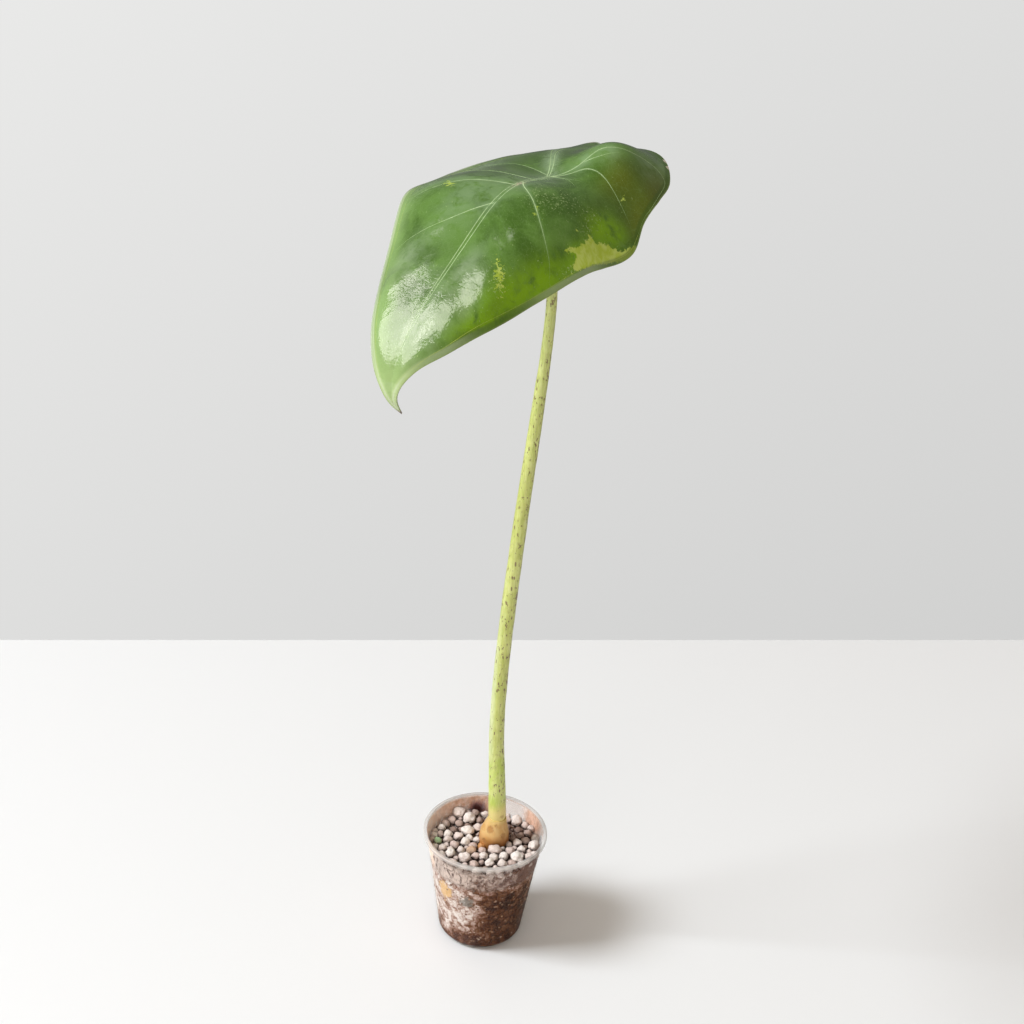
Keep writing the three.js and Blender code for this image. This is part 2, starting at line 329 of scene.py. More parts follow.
def surface(base, roughness, relief, depth, **more):
    # finishes a material; depth is the relief's height, and more sets the shader's other inputs
    normal = add("Bump", {"Height": relief, "Distance": depth * mm, "Strength": 1.0})
    inputs = {"Base Color": base, "Roughness": roughness, "Normal": normal}
    inputs.update({key.replace("_", " "): value for key, value in more.items()})
    add("OutputMaterial", {"Surface": add("BsdfPrincipled", inputs)})
    return owner


# Camera, floor and light

# place in metres, turns in degrees, rows and columns in pixels of the picture
view = {
    "place": (0.003, -0.652, 0.571),
    "lens": 50,
    "pitch": 25.1,
    "roll": 3.83,
    "floorEdgeRow": 640,
    "picture": 1024,
}


def makeCamera():
    pickOnly()
    bpy.ops.object.camera_add(location=view["place"],
                              rotation=(math.radians(90 - view["pitch"]), 0, 0))
    camera = bpy.context.object
    camera.name = "camera"
    camera.rotation_euler.rotate_axis("Z", math.radians(view["roll"]))
    camera.data.lens = view["lens"]
    bpy.context.scene.camera = camera
    bpy.context.view_layer.update()
    return camera


def floorPointAt(camera, column, row):
    # where a place of the picture lies on the floor
    half = view["picture"] / 2
    reach = view["lens"] / camera.data.sensor_width * view["picture"]
    direction = camera.matrix_world.to_3x3() @ Vector((column - half, half - row, -reach))
    start = camera.matrix_world.translation
    return start - direction * (start.z / direction.z)


# size in metres
floorLook = {
    "size": 4.0,
    "colour": (0.86, 0.86, 0.8557),
    "roughness": 0.6,
    "grain": 0.4,
    "relief": 0.01,
}


def makeFloor(camera):
    # a pale table top whose far edge is level in the picture
    left = floorPointAt(camera, 0, view["floorEdgeRow"])
    right = floorPointAt(camera, view["picture"], view["floorEdgeRow"])
    along = (right - left).normalized()
    pickOnly()
    bpy.ops.mesh.primitive_plane_add(size=floorLook["size"], location=(0, 0, 0))
    floor = bpy.context.object
    floor.name = "floor"
    bpy.ops.object.mode_set(mode="EDIT")
    bpy.ops.mesh.select_all(action="SELECT")
    bpy.ops.mesh.bisect(plane_co=left, plane_no=Vector((0, 0, 1)).cross(along), clear_outer=True)
    bpy.ops.object.mode_set(mode="OBJECT")
    newMaterial("floor_paint")
    grain = noise(objectPlace(), floorLook["grain"], 2)
    look = surface(floorLook["colour"], floorLook["roughness"], grain, floorLook["relief"])
    floor.data.materials.append(look)


lights = {
    # away is the direction from the aim to the lamp, and along that of the lamp's first side;
    # distances and sizes are metres, power is watts
    "lamps": {
        "window": {"aim": (0, 0, 0.1), "away": (-0.71, -0.12, 0.69), "along": (0, 1, 0),
                   "distance": 4.8, "size": (1.5, 1.7), "power": 222, "tint": (0.93, 0.985, 1.04),
                   "shows": "diffuse"},
        "front": {"aim": (0, 0, 0.1), "away": (-0.2, -0.95, 0.24), "along": (1, 0, 0),
                  "distance": 2.0, "size": (1.4, 0.7), "power": 11, "tint": (1.0, 0.92, 0.84),
                  "shows": "diffuse"},
        # the leaf mirrors the window and a skylight
        "windowGlare": {"aim": (-0.04, -0.09, 0.4), "away": (-0.724, -0.052, 0.688),
                        "along": (0, 1, 0), "distance": 1.3, "size": (1.05, 0.65), "power": 15,
                        "tint": (1, 0.93, 0.93), "shows": "glossy"},
        "skylight": {"aim": (-0.02, -0.06, 0.42), "away": (-0.314, -0.234, 0.92),
                     "along": (-0.44, -0.9, 0), "distance": 1.2, "size": (0.58, 0.83), "power": 11,
                     "tint": (1, 0.96, 0.9), "shows": "glossy"},
    },
    "room": {"Strength": 0.4, "Color": (1.05, 0.95, 0.85)},
    "shine": {"Strength": 0.13, "Color": (1, 1, 1)},
    "wall": {"tone": 0.787, "upward": 0.214, "rightward": -0.15, "colour": (1, 1, 0.99)},
}


def makeLights():
    for name, light in lights["lamps"].items():
        away = Vector(light["away"]).normalized()
        side = Vector(light["along"])
        side = (side - away * side.dot(away)).normalized()
        pickOnly()
        bpy.ops.object.light_add(type="AREA",
                                 location=Vector(light["aim"]) + away * light["distance"])
        lamp = bpy.context.object
        lamp.name = name + "_lamp"
        lamp.rotation_euler = Matrix((side, away.cross(side), away)).transposed().to_euler()
        lamp.data.shape = "RECTANGLE"
        lamp.data.size, lamp.data.size_y = light["size"]
        lamp.data.energy = light["power"]
        lamp.data.color = light["tint"]
        # what lights the scene and what the leaf mirrors are separate lamps
        lamp.visible_glossy = light["shows"] == "glossy"
        lamp.visible_diffuse = light["shows"] == "diffuse"


def makeRoom():
    # the camera sees a pale wall, mirrors see a dim room, and the rest is lit by a brighter one
    startTree(bpy.data.worlds.new("room"))
    wall = lights["wall"]
    x, _, z = parts(add("TexCoord", None, "Generated"))
    # painted light on the wall: brighter upward and darker towards the right
    tone = z * wall["upward"] + x * wall["rightward"] + wall["tone"]
    backdrop = add("Background", {"Color": wall["colour"], "Strength": tone})
    rays = add("LightPath")
    unseen = add("MixShader", {0: rays.out("Is Glossy Ray"), 1: add("Background", lights["room"]),
                               2: add("Background", lights["shine"])})
    both = add("MixShader", {0: rays.out("Is Camera Ray"), 1: unseen, 2: backdrop})
    add("OutputWorld", {"Surface": both})
    bpy.context.scene.world = owner
    bpy.context.scene.view_settings.view_transform = "Standard"


makeFloor(makeCamera())
makeLights()
makeRoom()
print("camera, floor and light are made")


# Cup

cup = {
    "height": 67.0,
    "rimRadius": 35.0,
    "wallTopRadius": 33.6,
    "wallFootRadius": 25.2,
    "footCorner": 4.5,
    "lipHeight": 2.4,
    "lipRound": 0.9,
    "lipDrop": 0.2,
    "wall": 0.8,
    "floor": 1.2,
    "sides": 160,
    "cornerSteps": 9,
    "wallSteps": 12,
    "clear": (0.985, 0.985, 0.98),
    "glossRoughness": 0.12,
    # the wall's mirror share, seen straight on and edge on
    "gloss": (0.004, 0.12),
    "haze": 0.002,
    "scuffHaze": 0.014,
    "lipHaze": 0.42,
    "beadDrop": 0.7,
    "beadShare": 0.7,
    "hazeColour": (0.63, 0.59, 0.56),
}
# What watering has left on the inside above the stones, and the smear of wet mix that clings to the
# front. Sides are degrees, seen from above; foot and top are the heights where each fades in.
film = {
    "foot": (46.0, 55.0),
    "top": (66.4, 64.9),
    "thickSide": 118,
    "most": 0.97,
    "cleanSide": 62,
    "cleanShare": 0.68,
    "ruddySide": 190,
    "ground": ((0.55, 0.3, 0.19), (0.82, 0.56, 0.43)),
    "stainPlace": (-6.0, 32.0, 57.0),
    "smearFoot": (46.0, 51.0),
    "smearTop": (67.5, 64.0),
    "smearSide": -70,
    "smearMost": 0.88,
    "dustySide": 205,
    "smear": ((0.15, 0.055, 0.028), (0.7, 0.57, 0.5)),
    "shades": {
        "ruddy": (0.98, 0.76, 0.62),
        "stain": (0.2, 0.05, 0.045),
        # a painted shadow, nearly black, where a pit opens between the stones behind the stain
        "core": (0.06, 0.011, 0.01),
        "streaks": (0.11, 0.05, 0.035),
    },
}


def wallRadius(height):
    rise = (height - cup["footCorner"]) / (cup["height"] - cup["lipHeight"] - cup["footCorner"])
    return cup["wallFootRadius"] + (cup["wallTopRadius"] - cup["wallFootRadius"]) * rise


def arc(radius, height, size, start, end, steps):
    angles = np.radians(np.linspace(start, end, steps + 1))
    return [(0, 0, height + size * math.sin(a), radius + size * math.cos(a)) for a in angles]


def insideCorner(size, floor):
    start = math.degrees(math.asin((floor - cup["footCorner"]) / size))
    return arc(cup["wallFootRadius"] - cup["footCorner"], cup["footCorner"], size, start, 0,
               cup["cornerSteps"])


def insideFilm(place, haze):
    # gives how thick the film is with the haze, and its colour
    x, y, height = parts(place)
    way = add("VectorMath", {0: add("CombineXYZ", {0: x, 1: y})}, operation="NORMALIZE")

    def toward(side):
        # 1 on this side of the cup, -1 on the opposite one
        angle = math.radians(side)
        return dot(way, (math.cos(angle), math.sin(angle), 0))

    # thick at the back and left, none in front, nearly clean at the back right
    clean = fade(toward(film["cleanSide"]), 0.93, 0.99) * film["cleanShare"]
    thick = between(toward(film["thickSide"]), -0.65, -0.1, 0, film["most"]) * (1 - clean)
    streaks = noise(objectPlace((1, 1, 0.45)), 2.6, 7, 0.7)
    layer = fade(height, *film["foot"]) * fade(height, *film["top"])
    layer = layer * thick * between(streaks, 0.35, 0.5, 0.8)
    stain = distance(place, film["stainPlace"]) + streaks * 7
    # the painted shadow of that pit, in the middle of the stain
    core = fade(stain, 8, 6)
    tints = layered(
        paint(*film["ground"], fade(noise(place, 3.5, 7, 0.7), 0.38, 0.66)), film["shades"],
        ruddy=fade(toward(film["ruddySide"]), 0.4, 1.0) * 0.85,
        stain=fade(stain, 10.5, 7),
        core=core)
    dust = paint(cup["hazeColour"], tints, fade(layer, 0.02, 0.12))
    haze = larger(haze, larger(layer, core))
    # in front, wet mix clings to the wall up to the stones, darker towards the right and paler towards the
    # left
    smear = fade(height, *film["smearFoot"]) * fade(height + streaks * 9, *film["smearTop"])
    smear = smear * fade(toward(film["smearSide"]), 0.1, 0.5)
    patches = noise(place, 4, 7, 0.7, 0.5)
    side = toward(film["dustySide"]) + (patches - 0.5) * 4
    clinging = layered(paint(*film["smear"], fade(side, -0.3, 0.9)), film["shades"],
                       streaks=fade(streaks, 0.51, 0.38))
    dust = paint(dust, clinging, fade(smear, 0.02, 0.12))
    return larger(haze, smear * fade(patches, 0.3, 0.46) * film["smearMost"]), dust


def clearPlastic(inner):
    newMaterial("plastic_inside" if inner else "plastic_outside")
    place = objectPlace()
    height = parts(place)[2]
    # a thin wall's mirror share is the same from both of its sides
    steep = maths("POWER", add("LayerWeight", {"Blend": 0.5}, "Facing"), 5.0)
    clear = add("MixShader", {
        0: between(steep, 0, 1, *cup["gloss"]),
        1: add("BsdfTransparent", {"Color": cup["clear"]}),
        2: add("BsdfGlossy", {"Color": (1, 1, 1), "Roughness": cup["glossRoughness"]})})
    # the rolled lip is milky, most of all along its bead
    lipFoot = cup["height"] - cup["lipHeight"]
    bead = fade(abs(height - (cup["height"] - cup["beadDrop"])), 0.5, 0.1)
    lip = fade(height, lipFoot - 0.3, lipFoot + 0.5) + bead * cup["beadShare"]
    scuffs = fade(noise(place, 5, 8, 0.7, 0.6), 0.5, 0.75)
    haze = scuffs * cup["scuffHaze"] + lip * cup["lipHaze"] + cup["haze"]
    dust = cup["hazeColour"]
    if inner:
        haze, dust = insideFilm(place, haze)
    dull = add("BsdfPrincipled", {"Base Color": dust, "Roughness": 0.5})
    add("OutputMaterial", {"Surface": add("MixShader", {0: haze, 1: clear, 2: dull})})
    return owner


def makeCup():
    lipFoot = cup["height"] - cup["lipHeight"]
    foot = cup["footCorner"]
    wall = cup["wall"]
    wallSteps = cup["wallSteps"]
    profile = arc(cup["wallFootRadius"] - foot, foot, foot, -90, 0, cup["cornerSteps"])
    profile += [(0, 0, z, wallRadius(z)) for z in np.linspace(foot, lipFoot, wallSteps)[1:]]
    profile += [(0, 0, lipFoot + cup["lipDrop"], cup["rimRadius"])]
    profile += arc(cup["rimRadius"] - cup["lipRound"], cup["height"] - cup["lipRound"],
                   cup["lipRound"], 0, 90, 5)
    profile += [(0, 0, cup["height"] - cup["lipDrop"], cup["wallTopRadius"] - wall / 2)]
    profile += [(0, 0, z, wallRadius(z) - wall) for z in np.linspace(lipFoot, foot, wallSteps)[:-1]]
    profile += insideCorner(foot - wall, cup["floor"])[::-1]
    piece = ringBody(profile, cup["sides"])
    smooth(piece, 40)
    finishPiece(piece, "clear_cup", [clearPlastic(False), clearPlastic(True)], "clear_plastic", "cup")
    for face in piece.data.polygons:
        outward = Vector((face.center.x, face.center.y, 0)).dot(face.normal)
        face.material_index = 1 if outward < 0 and face.center.z > foot * mm else 0


makeCup()
print("the cup is made")


# Potting mix

mix = {
    "top": 52.0,
    "clearance": 0.3,
    "sides": 160,
    "grains": 260,
    "grainSizes": (0.6, 1.6),
    "seed": 5,
    # from the wettest bark to dry pumice dust
    "tones": [
        (0.06, (0.026, 0.008, 0.003)), (0.25, (0.085, 0.028, 0.01)), (0.42, (0.17, 0.068, 0.028)),
        (0.56, (0.36, 0.21, 0.16)), (0.7, (0.58, 0.44, 0.385)), (0.86, (0.82, 0.74, 0.7))],
    "grainTones": [
        (0.0, (0.1, 0.04, 0.02)), (0.35, (0.2, 0.09, 0.045)), (0.75, (0.36, 0.2, 0.12)),
        (0.94, (0.55, 0.42, 0.34)), (1.0, (0.6, 0.3, 0.1))],
    # how far the borders of the pale parts wander, and where each part begins and is full
    "sway": 30.0,
    "paleSide": (11.0, -14.0),
    "moistFoot": (0.0, 20.0),
    "dryTop": (38.0, 48.0),
    "lumpSize": 3.6,
    "grainSize": 2.3,
    "wet": (0.19, 0.1, 0.085),
    "paleGrains": ((0.45, 0.27, 0.15), (0.85, 0.77, 0.72)),
    # a rust grain and a slate-grey one: place, size and colour
    "spots": [((-20.8, -20.8, 39.0), 6.2, (0.78, 0.5, 0.22)),
              ((-8.0, -28.0, 37.0), 4.8, (0.2, 0.19, 0.17))],
}
pumice = {
    "bedTop": 57.0,
    "bedSlope": -0.06,
    "bedDepth": 1.2,
    "seed": 11,
    "tries": 3000,
    "largest": 3.0,
    "smallest": 1.8,
    "packing": 0.82,
    "markedRise": 0.6,
    "rise": 0.45,
    "wallShare": 0.6,
    "cormShare": 0.4,
    "gritTries": 1200,
    "gritSizes": (0.7, 1.5),
    "gritPacking": 0.85,
    "gritRise": -0.5,
    "plainDrop": 0.1,
    "plainSize": 0.93,
    # how much darker with painted shade, lower and smaller the stones in a hollow are
    "hollowShade": 0.88,
    "hollowDrop": 1.3,
    "hollowShrink": 0.16,
    # how much paler the grit is at the wall, through which it is lit, and from which radius on
    "litGrit": (3.2, 28.5),
    "tones": [(0.0, (0.1, 0.05, 0.035)), (0.25, (0.4, 0.28, 0.23)), (0.45, (0.74, 0.58, 0.52)),
              (0.7, (0.87, 0.76, 0.7)), (1.0, (0.92, 0.86, 0.8))],
}
# Least and most of a grain's stretch along x, y and z
grainStretch = ((0.88, 1.1), (0.88, 1.1), (0.82, 1.02))
grainShades = {
    "stain": (0.55, 0.4, 0.34),
    "grit": (0.55, 0.47, 0.42),
    "dirt": (0.36, 0.26, 0.22),
    "gap": (0.03, 0.012, 0.007),
}


def bedHeight(y):
    return pumice["bedTop"] + pumice["bedSlope"] * y


def mixMaterial():
    newMaterial("moist_mix")
    place = objectPlace()
    x, _, z = parts(place)
    marble = noise(place, 4.5, 8, 0.72, 0.5)
    fine = noise(place, 1.1, 6, 0.72, 0.3)
    sway = (noise(place, 12, 3, 0.5, 0.5) - 0.5) * mix["sway"]
    # lumps of bark and pumice, bent out of shape
    lumpPlace = bent(place, 2.857, 4, (4, 4, 4))
    lumps = draw(cells(lumpPlace, mix["lumpSize"]))
    gaps = fade(borders(lumpPlace, mix["lumpSize"]), 0.12, 0.0)
    # paler where dry pumice dust clings all along the top, and on the window side above the moist foot,
    # where it is partly painted light
    side = fade(x + sway, *mix["paleSide"])
    height = z + sway
    dry = larger(side * fade(height, *mix["moistFoot"]), fade(height, *mix["dryTop"]) * 0.7)
    level = marble + fine * 0.4 + dry * 0.35 + lumps * 0.16 - gaps * 0.12
    base = shaded(between(level, 0.6, 1.3), mix["tones"])
    base = paint(base, mix["wet"], side * (1 - dry) * 0.3)
    grains = cells(place, mix["grainSize"])
    pale = fade(grains + fine * 0.5, 0.5, 0.4) * fade(draw(grains), 0.72, 0.76)
    base = paint(base, paint(*mix["paleGrains"], dry), pale * 0.8)
    for spotPlace, size, shade in mix["spots"]:
        away = distance(place, spotPlace) + (marble - 0.5) * 14
        base = paint(base, shade, fade(away, size, size - 2.2) * 0.8)
    return surface(base, 0.6, fine * 0.5 + marble, 0.5, Specular_IOR_Level=0.06)


def grainMaterial(name, tones, gapShade=0.0):
    # tone is one draw for each grain, and picks its colour; painted shade darkens the gaps between grains
    newMaterial(name)
    place = objectPlace()
    grit = noise(place, 0.5, 5, 0.7)
    stain = fade(noise(place, 1.8, 4, 0.6), 0.5, 0.8) * 0.5
    base = paint(shaded(attribute("tone"), tones), grainShades["stain"], stain, "MULTIPLY")
    base = layered(base, grainShades, grit=fade(grit, 0.56, 0.7))
    if gapShade:
        openness = add("AmbientOcclusion", {"Distance": 4.5 * mm}, "AO", samples=8)
        # less of it where the cup's wall lets the light in
        fromAxis = add("VectorMath", {0: objectPlace((1, 1, 0))}, "Value", operation="LENGTH")
        atWall = between(fromAxis, 27, 30, 1, 0.3)
        # painted shade: a soft darkening wherever the grain is less open, and a dark one deep in the gaps
        base = layered(base, grainShades,
                       dirt=fade(openness, 0.97, 0.6) * 0.42,
                       gap=fade(openness, 0.68, 0.2) * gapShade * atWall)
    pits = fade(cells(place, 0.7), 0.1, 0.35)
    return surface(base, fade(grit, -0.6, 0.6), grit + pits * 0.5, 0.25)


def makeGrainForms(level, lump, count):
    # a few rounded pebbles of radius 1, each from its own place in the noise
    forms = []
    for i in range(count):
        pickOnly()
        bpy.ops.mesh.primitive_ico_sphere_add(subdivisions=level, radius=1, location=(7 * i, 0, 0))
        form = bpy.context.object
        settle(form)
        displace(form, "lumps", 900, 1000 * lump)
        displace(form, "bumps", 350, 350 * lump)
        applyAll(form)
        form.data.transform(Matrix.Translation((-7 * i, 0, 0)))
        for face in form.data.polygons:
            face.use_smooth = True
        forms.append(form)
    return forms


def layGrains(forms, places, draws, tones=(0, 1), shade=None):
    # places are x, y, z and radius; each grain gets its own mesh, turn, stretch and tone
    grains = []
    for x, y, z, radius in places:
        form = forms[draws.randrange(len(forms))]
        grain = form.copy()
        grain.data = form.data.copy()
        bpy.context.scene.collection.objects.link(grain)
        stretch = [draws.uniform(*limits) for limits in grainStretch]
        turn = Matrix.Rotation(draws.uniform(0, 2 * math.pi), 4, "Z")
        turn = turn @ Matrix.Rotation(draws.uniform(-0.5, 0.5), 4, "X")
        size = Matrix.Diagonal([share * radius * mm for share in stretch] + [1])
        grain.data.transform(Matrix.Translation((x * mm, y * mm, z * mm)) @ turn @ size)
        value = draws.uniform(*tones) * (shade(x, y) if shade else 1)
        tone = grain.data.attributes.new("tone", "FLOAT", "POINT")
        tone.data.foreach_set("value", [value] * len(grain.data.vertices))
        grains.append(grain)
    piece = joined(grains)
    for form in forms:
        bpy.data.objects.remove(form)
    return piece


def insideCup(bottom, top, sides):
    # rings of a body that fills the cup between two heights
    rings = []
    if bottom < cup["footCorner"]:
        rings += insideCorner(cup["footCorner"] - cup["wall"] - mix["clearance"],
                              cup["floor"] + mix["clearance"])
        bottom = cup["footCorner"]
    return rings + [(0, 0, z, wallRadius(z) - cup["wall"] - mix["clearance"])
                    for z in np.linspace(bottom, top, sides)]


def makeMix():
    look = mixMaterial()
    body = ringBody(insideCup(0, mix["top"], 40), mix["sides"])
    smooth(body, 50)
    finishPiece(body, "mix_body", [look], "mix", "potting_mix")

    bed = ringBody(insideCup(mix["top"], pumice["bedTop"] - pumice["bedDepth"], 6), mix["sides"])
    middle = (mix["top"] + pumice["bedTop"]) / 2 * mm
    for vertex in bed.data.vertices:
        if vertex.co.z > middle:
            vertex.co.z += pumice["bedSlope"] * vertex.co.y
    smooth(bed, 50)
    finishPiece(bed, "mix_under_stones", [look], "mix", "pumice_stones")

    draws = random.Random(mix["seed"])
    places = []
    for _ in range(mix["grains"]):
        radius = draws.uniform(*mix["grainSizes"])
        z = draws.uniform(cup["footCorner"] + 1, mix["top"] - 1)
        angle = draws.uniform(0, 2 * math.pi)
        reach = wallRadius(z) - cup["wall"] - 0.1 - 0.95 * radius
        places.append((reach * math.cos(angle), reach * math.sin(angle), z, radius))
    grains = layGrains(makeGrainForms(2, 0.25, 5), places, draws)
    finishPiece(grains, "mix_grains", [grainMaterial("grains_at_wall", mix["grainTones"])], "mix",
                "potting_mix")


makeMix()
print("the mix is made")


# Pumice stones. The marked ones, x, y and radius, lie where the photo shows them.

markedStones = [
    (-16.3, 25.2, 3.7), (-10, 20.1, 3.7), (-10.3, 7.2, 3.7), (-4.6, 11.2, 3.1), (-15.2, 2.3, 2.8),
    (-25.1, 9.5, 2.6), (-23.4, -10, 2.5), (-18.6, -14.7, 2.9), (-10.8, -3.2, 2.8), (-10.6, -18.1, 3.4),
    (0.1, -15, 2.8), (5.9, -9.6, 3.8), (3.7, -20.8, 2.8), (11.2, -14.3, 3.1), (18.4, -0.7, 2.8),
    (20.9, -6.4, 2.5), (18.7, -14.6, 3.4), (25, -12.4, 2.4), (28, -2.4, 3.3), (29, 5.4, 2.4),
    (17.8, 20.9, 3.4), (26.4, 15.5, 2.4), (-0.5, 26.5, 2.2), (-29, 2.4, 2.2),
]
# The two single stones: x, y, z and radius, and their colours
pebbles = {
    "green": {"place": (-26.4, -3.9, 59.6, 2.3), "tones": ((0.33, 0.5, 0.25), (0.42, 0.58, 0.33))},
    "tan": {"place": (-7.4, -10.3, 59.4, 2.9), "tones": ((0.6, 0.4, 0.27), (0.72, 0.5, 0.35))},
}

# Corm: x, y, z and radius of its rings, from its root end to its neck
cormRings = [
    (4.4, 1.2, 45, 2.6), (4.6, 1.4, 48, 5.6), (4.9, 1.8, 53, 7.6), (5.0, 2.0, 58, 8.3),
    (5.1, 2.0, 63, 8.3), (5.3, 2.0, 67, 7.5), (5.8, 2.0, 71, 6.1), (6.2, 2.0, 74.6, 5.1),
]
rootStub = (-1.6, -4.6, 57.6, 2.7)


def layStones():
    # the marked stones, then others in the spaces between them, the largest first
    state = pumice["seed"]

    def nextDraw():
        nonlocal state
        state = state * 16807 % 2147483647
        return state / 2147483647

    edge = wallRadius(pumice["bedTop"]) - cup["wall"]
    widest = max(cormRings, key=lambda ring: ring[3])
    taken = [pebble["place"] for pebble in pebbles.values()] + [rootStub]
    stones = [(x, y, bedHeight(y) + pumice["markedRise"] * r, r) for x, y, r in markedStones]

    def tryStone(radius, packing, rise):
        reach = (edge - pumice["wallShare"] * radius) * math.sqrt(nextDraw())
        angle = 2 * math.pi * nextDraw()
        x, y = reach * math.cos(angle), reach * math.sin(angle)
        for otherX, otherY, _, otherRadius in stones + taken:
            if math.hypot(x - otherX, y - otherY) <= packing * (radius + otherRadius):
                return
        if math.hypot(x - widest[0], y - widest[1]) > widest[3] + pumice["cormShare"] * radius:
            stones.append((x, y, bedHeight(y) + rise * radius, radius))

    for i in range(pumice["tries"]):
        radius = pumice["largest"] + (pumice["smallest"] - pumice["largest"]) * i / pumice["tries"]
        tryStone(radius, pumice["packing"], pumice["rise"])
    plain = len(stones)
    # finer grit, which only the looks need, lies lower in what is left
    small, large = pumice["gritSizes"]
    for i in range(pumice["gritTries"]):
        tryStone(large + (small - large) * i / pumice["gritTries"], pumice["gritPacking"],
                 pumice["gritRise"])
    marked = len(markedStones)
    return stones[:marked], stones[marked:plain], stones[plain:]


# Hollows in the bed, where the stones are painted darker as shade: x, y and radius
hollows = [(-16, 11.4, 5), (-5, 25, 4.5), (19.2, 12.4, 7), (13.8, 18.3, 5), (24, -1.6, 4.5),
           (-1, -23.8, 3.5), (14, 6, 5), (-9, 14, 3), (-20, 16, 3)]


def inHollow(x, y):
    # 1 on the open bed, less in a hollow, where painted shade darkens the stones
    share = 1.0
    for spotX, spotY, radius in hollows:
        share *= 1 - pumice["hollowShade"] * math.exp(-((x - spotX) ** 2 + (y - spotY) ** 2) / radius ** 2)
    return share


def gritTone(x, y):
    share, radius = pumice["litGrit"]
    return share if math.hypot(x, y) > radius else inHollow(x, y)


def makeStones():
    marked, plain, grit = layStones()
    draws = random.Random(pumice["seed"])
    look = [grainMaterial("pumice", pumice["tones"], 0.95)]
    finishPiece(layGrains(makeGrainForms(4, 0.6, 6), marked, draws, (0.6, 1.0)),
                "pumice_stones_large", look, "pumice", "pumice_stones")
    # the plain ones lie a little deeper, most of all in the hollows
    sunk = [1 - inHollow(x, y) for x, y, _, _ in plain]
    plain = [(x, y, z - pumice["plainDrop"] * r - pumice["hollowDrop"] * deep,
              (pumice["plainSize"] - pumice["hollowShrink"] * deep) * r)
             for (x, y, z, r), deep in zip(plain, sunk)]
    finishPiece(layGrains(makeGrainForms(4, 0.5, 6), plain, draws, (0.35, 0.95), inHollow),
                "pumice_stones_small", look, "pumice", "pumice_stones")
    # the grit, low in the gaps, is painted dark as shade there, and paler at the wall
    finishPiece(layGrains(makeGrainForms(2, 0.34, 4), grit, draws, (0.0, 0.25), gritTone),
                "pumice_grit", look, "pumice", "pumice_stones")
    for name, pebble in pebbles.items():
        stone = layGrains(makeGrainForms(4, 0.4, 1), [pebble["place"]], draws)
        skin = grainMaterial(name + "_pebble_skin", list(enumerate(pebble["tones"])), 0.8)
        finishPiece(stone, name + "_pebble", [skin], name + "_stone", name + "_stone")


makeStones()
print("the stones are made")


# Corm and petiole

corm = {
    "sides": 64,
    "rings": 60,
    # width and strength of the relief
    "lumps": (7.0, 0.7),
    "wrinkles": (1.6, 0.12),
    # scars: x, y, z and radius
    "scars": [(9.2, -2.2, 77.6, 1.3), (2.2, -4.6, 70.0, 2.3), (6.0, -4.6, 72.5, 1.0),
              (10.5, -4.0, 66.0, 1.6), (-0.5, -4.6, 62.5, 1.4)],
    "skin": ((0.7, 0.47, 0.2), (0.64, 0.35, 0.11)),
    # heights between which these tones fade in
    "rootEnd": (73.0, 63.0),
    "neck": (76.0, 82.0),
    "crowded": (67.0, 61.0),
    "shades": {
        "rootEnd": (0.52, 0.21, 0.06),
        "neck": (0.66, 0.58, 0.2),
        "mottle": (0.5, 0.26, 0.09),
        "crowded": (0.26, 0.09, 0.02),
        "scars": (0.34, 0.14, 0.04),
    },
}


def scarMask(place, wobble):
    mask = 0.0
    for x, y, z, radius in corm["scars"]:
        away = distance(place, (x, y, z)) + wobble * 3.2
        mask = larger(mask, fade(away, radius + 2.2, radius + 1.0))
    return mask


def cormMaterial():
    newMaterial("corm_skin")
    place = objectPlace()
    x, _, height = parts(place)
    soft = noise(place, 5, 5, 0.6, 0.5)
    fine = noise(place, 0.9, 6, 0.7)
    low = height + soft * 10
    scars = scarMask(place, fine)
    base = layered(
        paint(*corm["skin"], fade(soft, 0.38, 0.66)), corm["shades"],
        # browner towards the root end, and paler green-yellow towards the neck
        rootEnd=fade(low, *corm["rootEnd"]) * 0.85,
        neck=fade(low, *corm["neck"]) * 0.75,
        mottle=fade(fine, 0.56, 0.75) * 0.4,
        # painted shade where the stones crowd it, but not at the root stub
        crowded=fade(height, *corm["crowded"]) * fade(x, -1, 3) * 0.65,
        scars=scars * 0.5)
    return surface(base, 0.45, fine * 0.4 - scars, 0.22, Specular_IOR_Level=0.35, Subsurface_Weight=0.1,
                   Subsurface_Radius=(0.002, 0.001, 0.0005))


def makeCorm():
    rings = spaced(splineThrough(cormRings, 10), corm["rings"])
    body = ringBody([tuple(ring) for ring in rings], corm["sides"])
    stub = layGrains(makeGrainForms(4, 0.3, 1), [rootStub], random.Random(3))
    body = joined([body, stub])
    displace(body, "lumps", *corm["lumps"])
    displace(body, "wrinkles", *corm["wrinkles"])
    applyAll(body)
    smooth(body)
    finishPiece(body, "corm_body", [cormMaterial()], "corm", "corm")


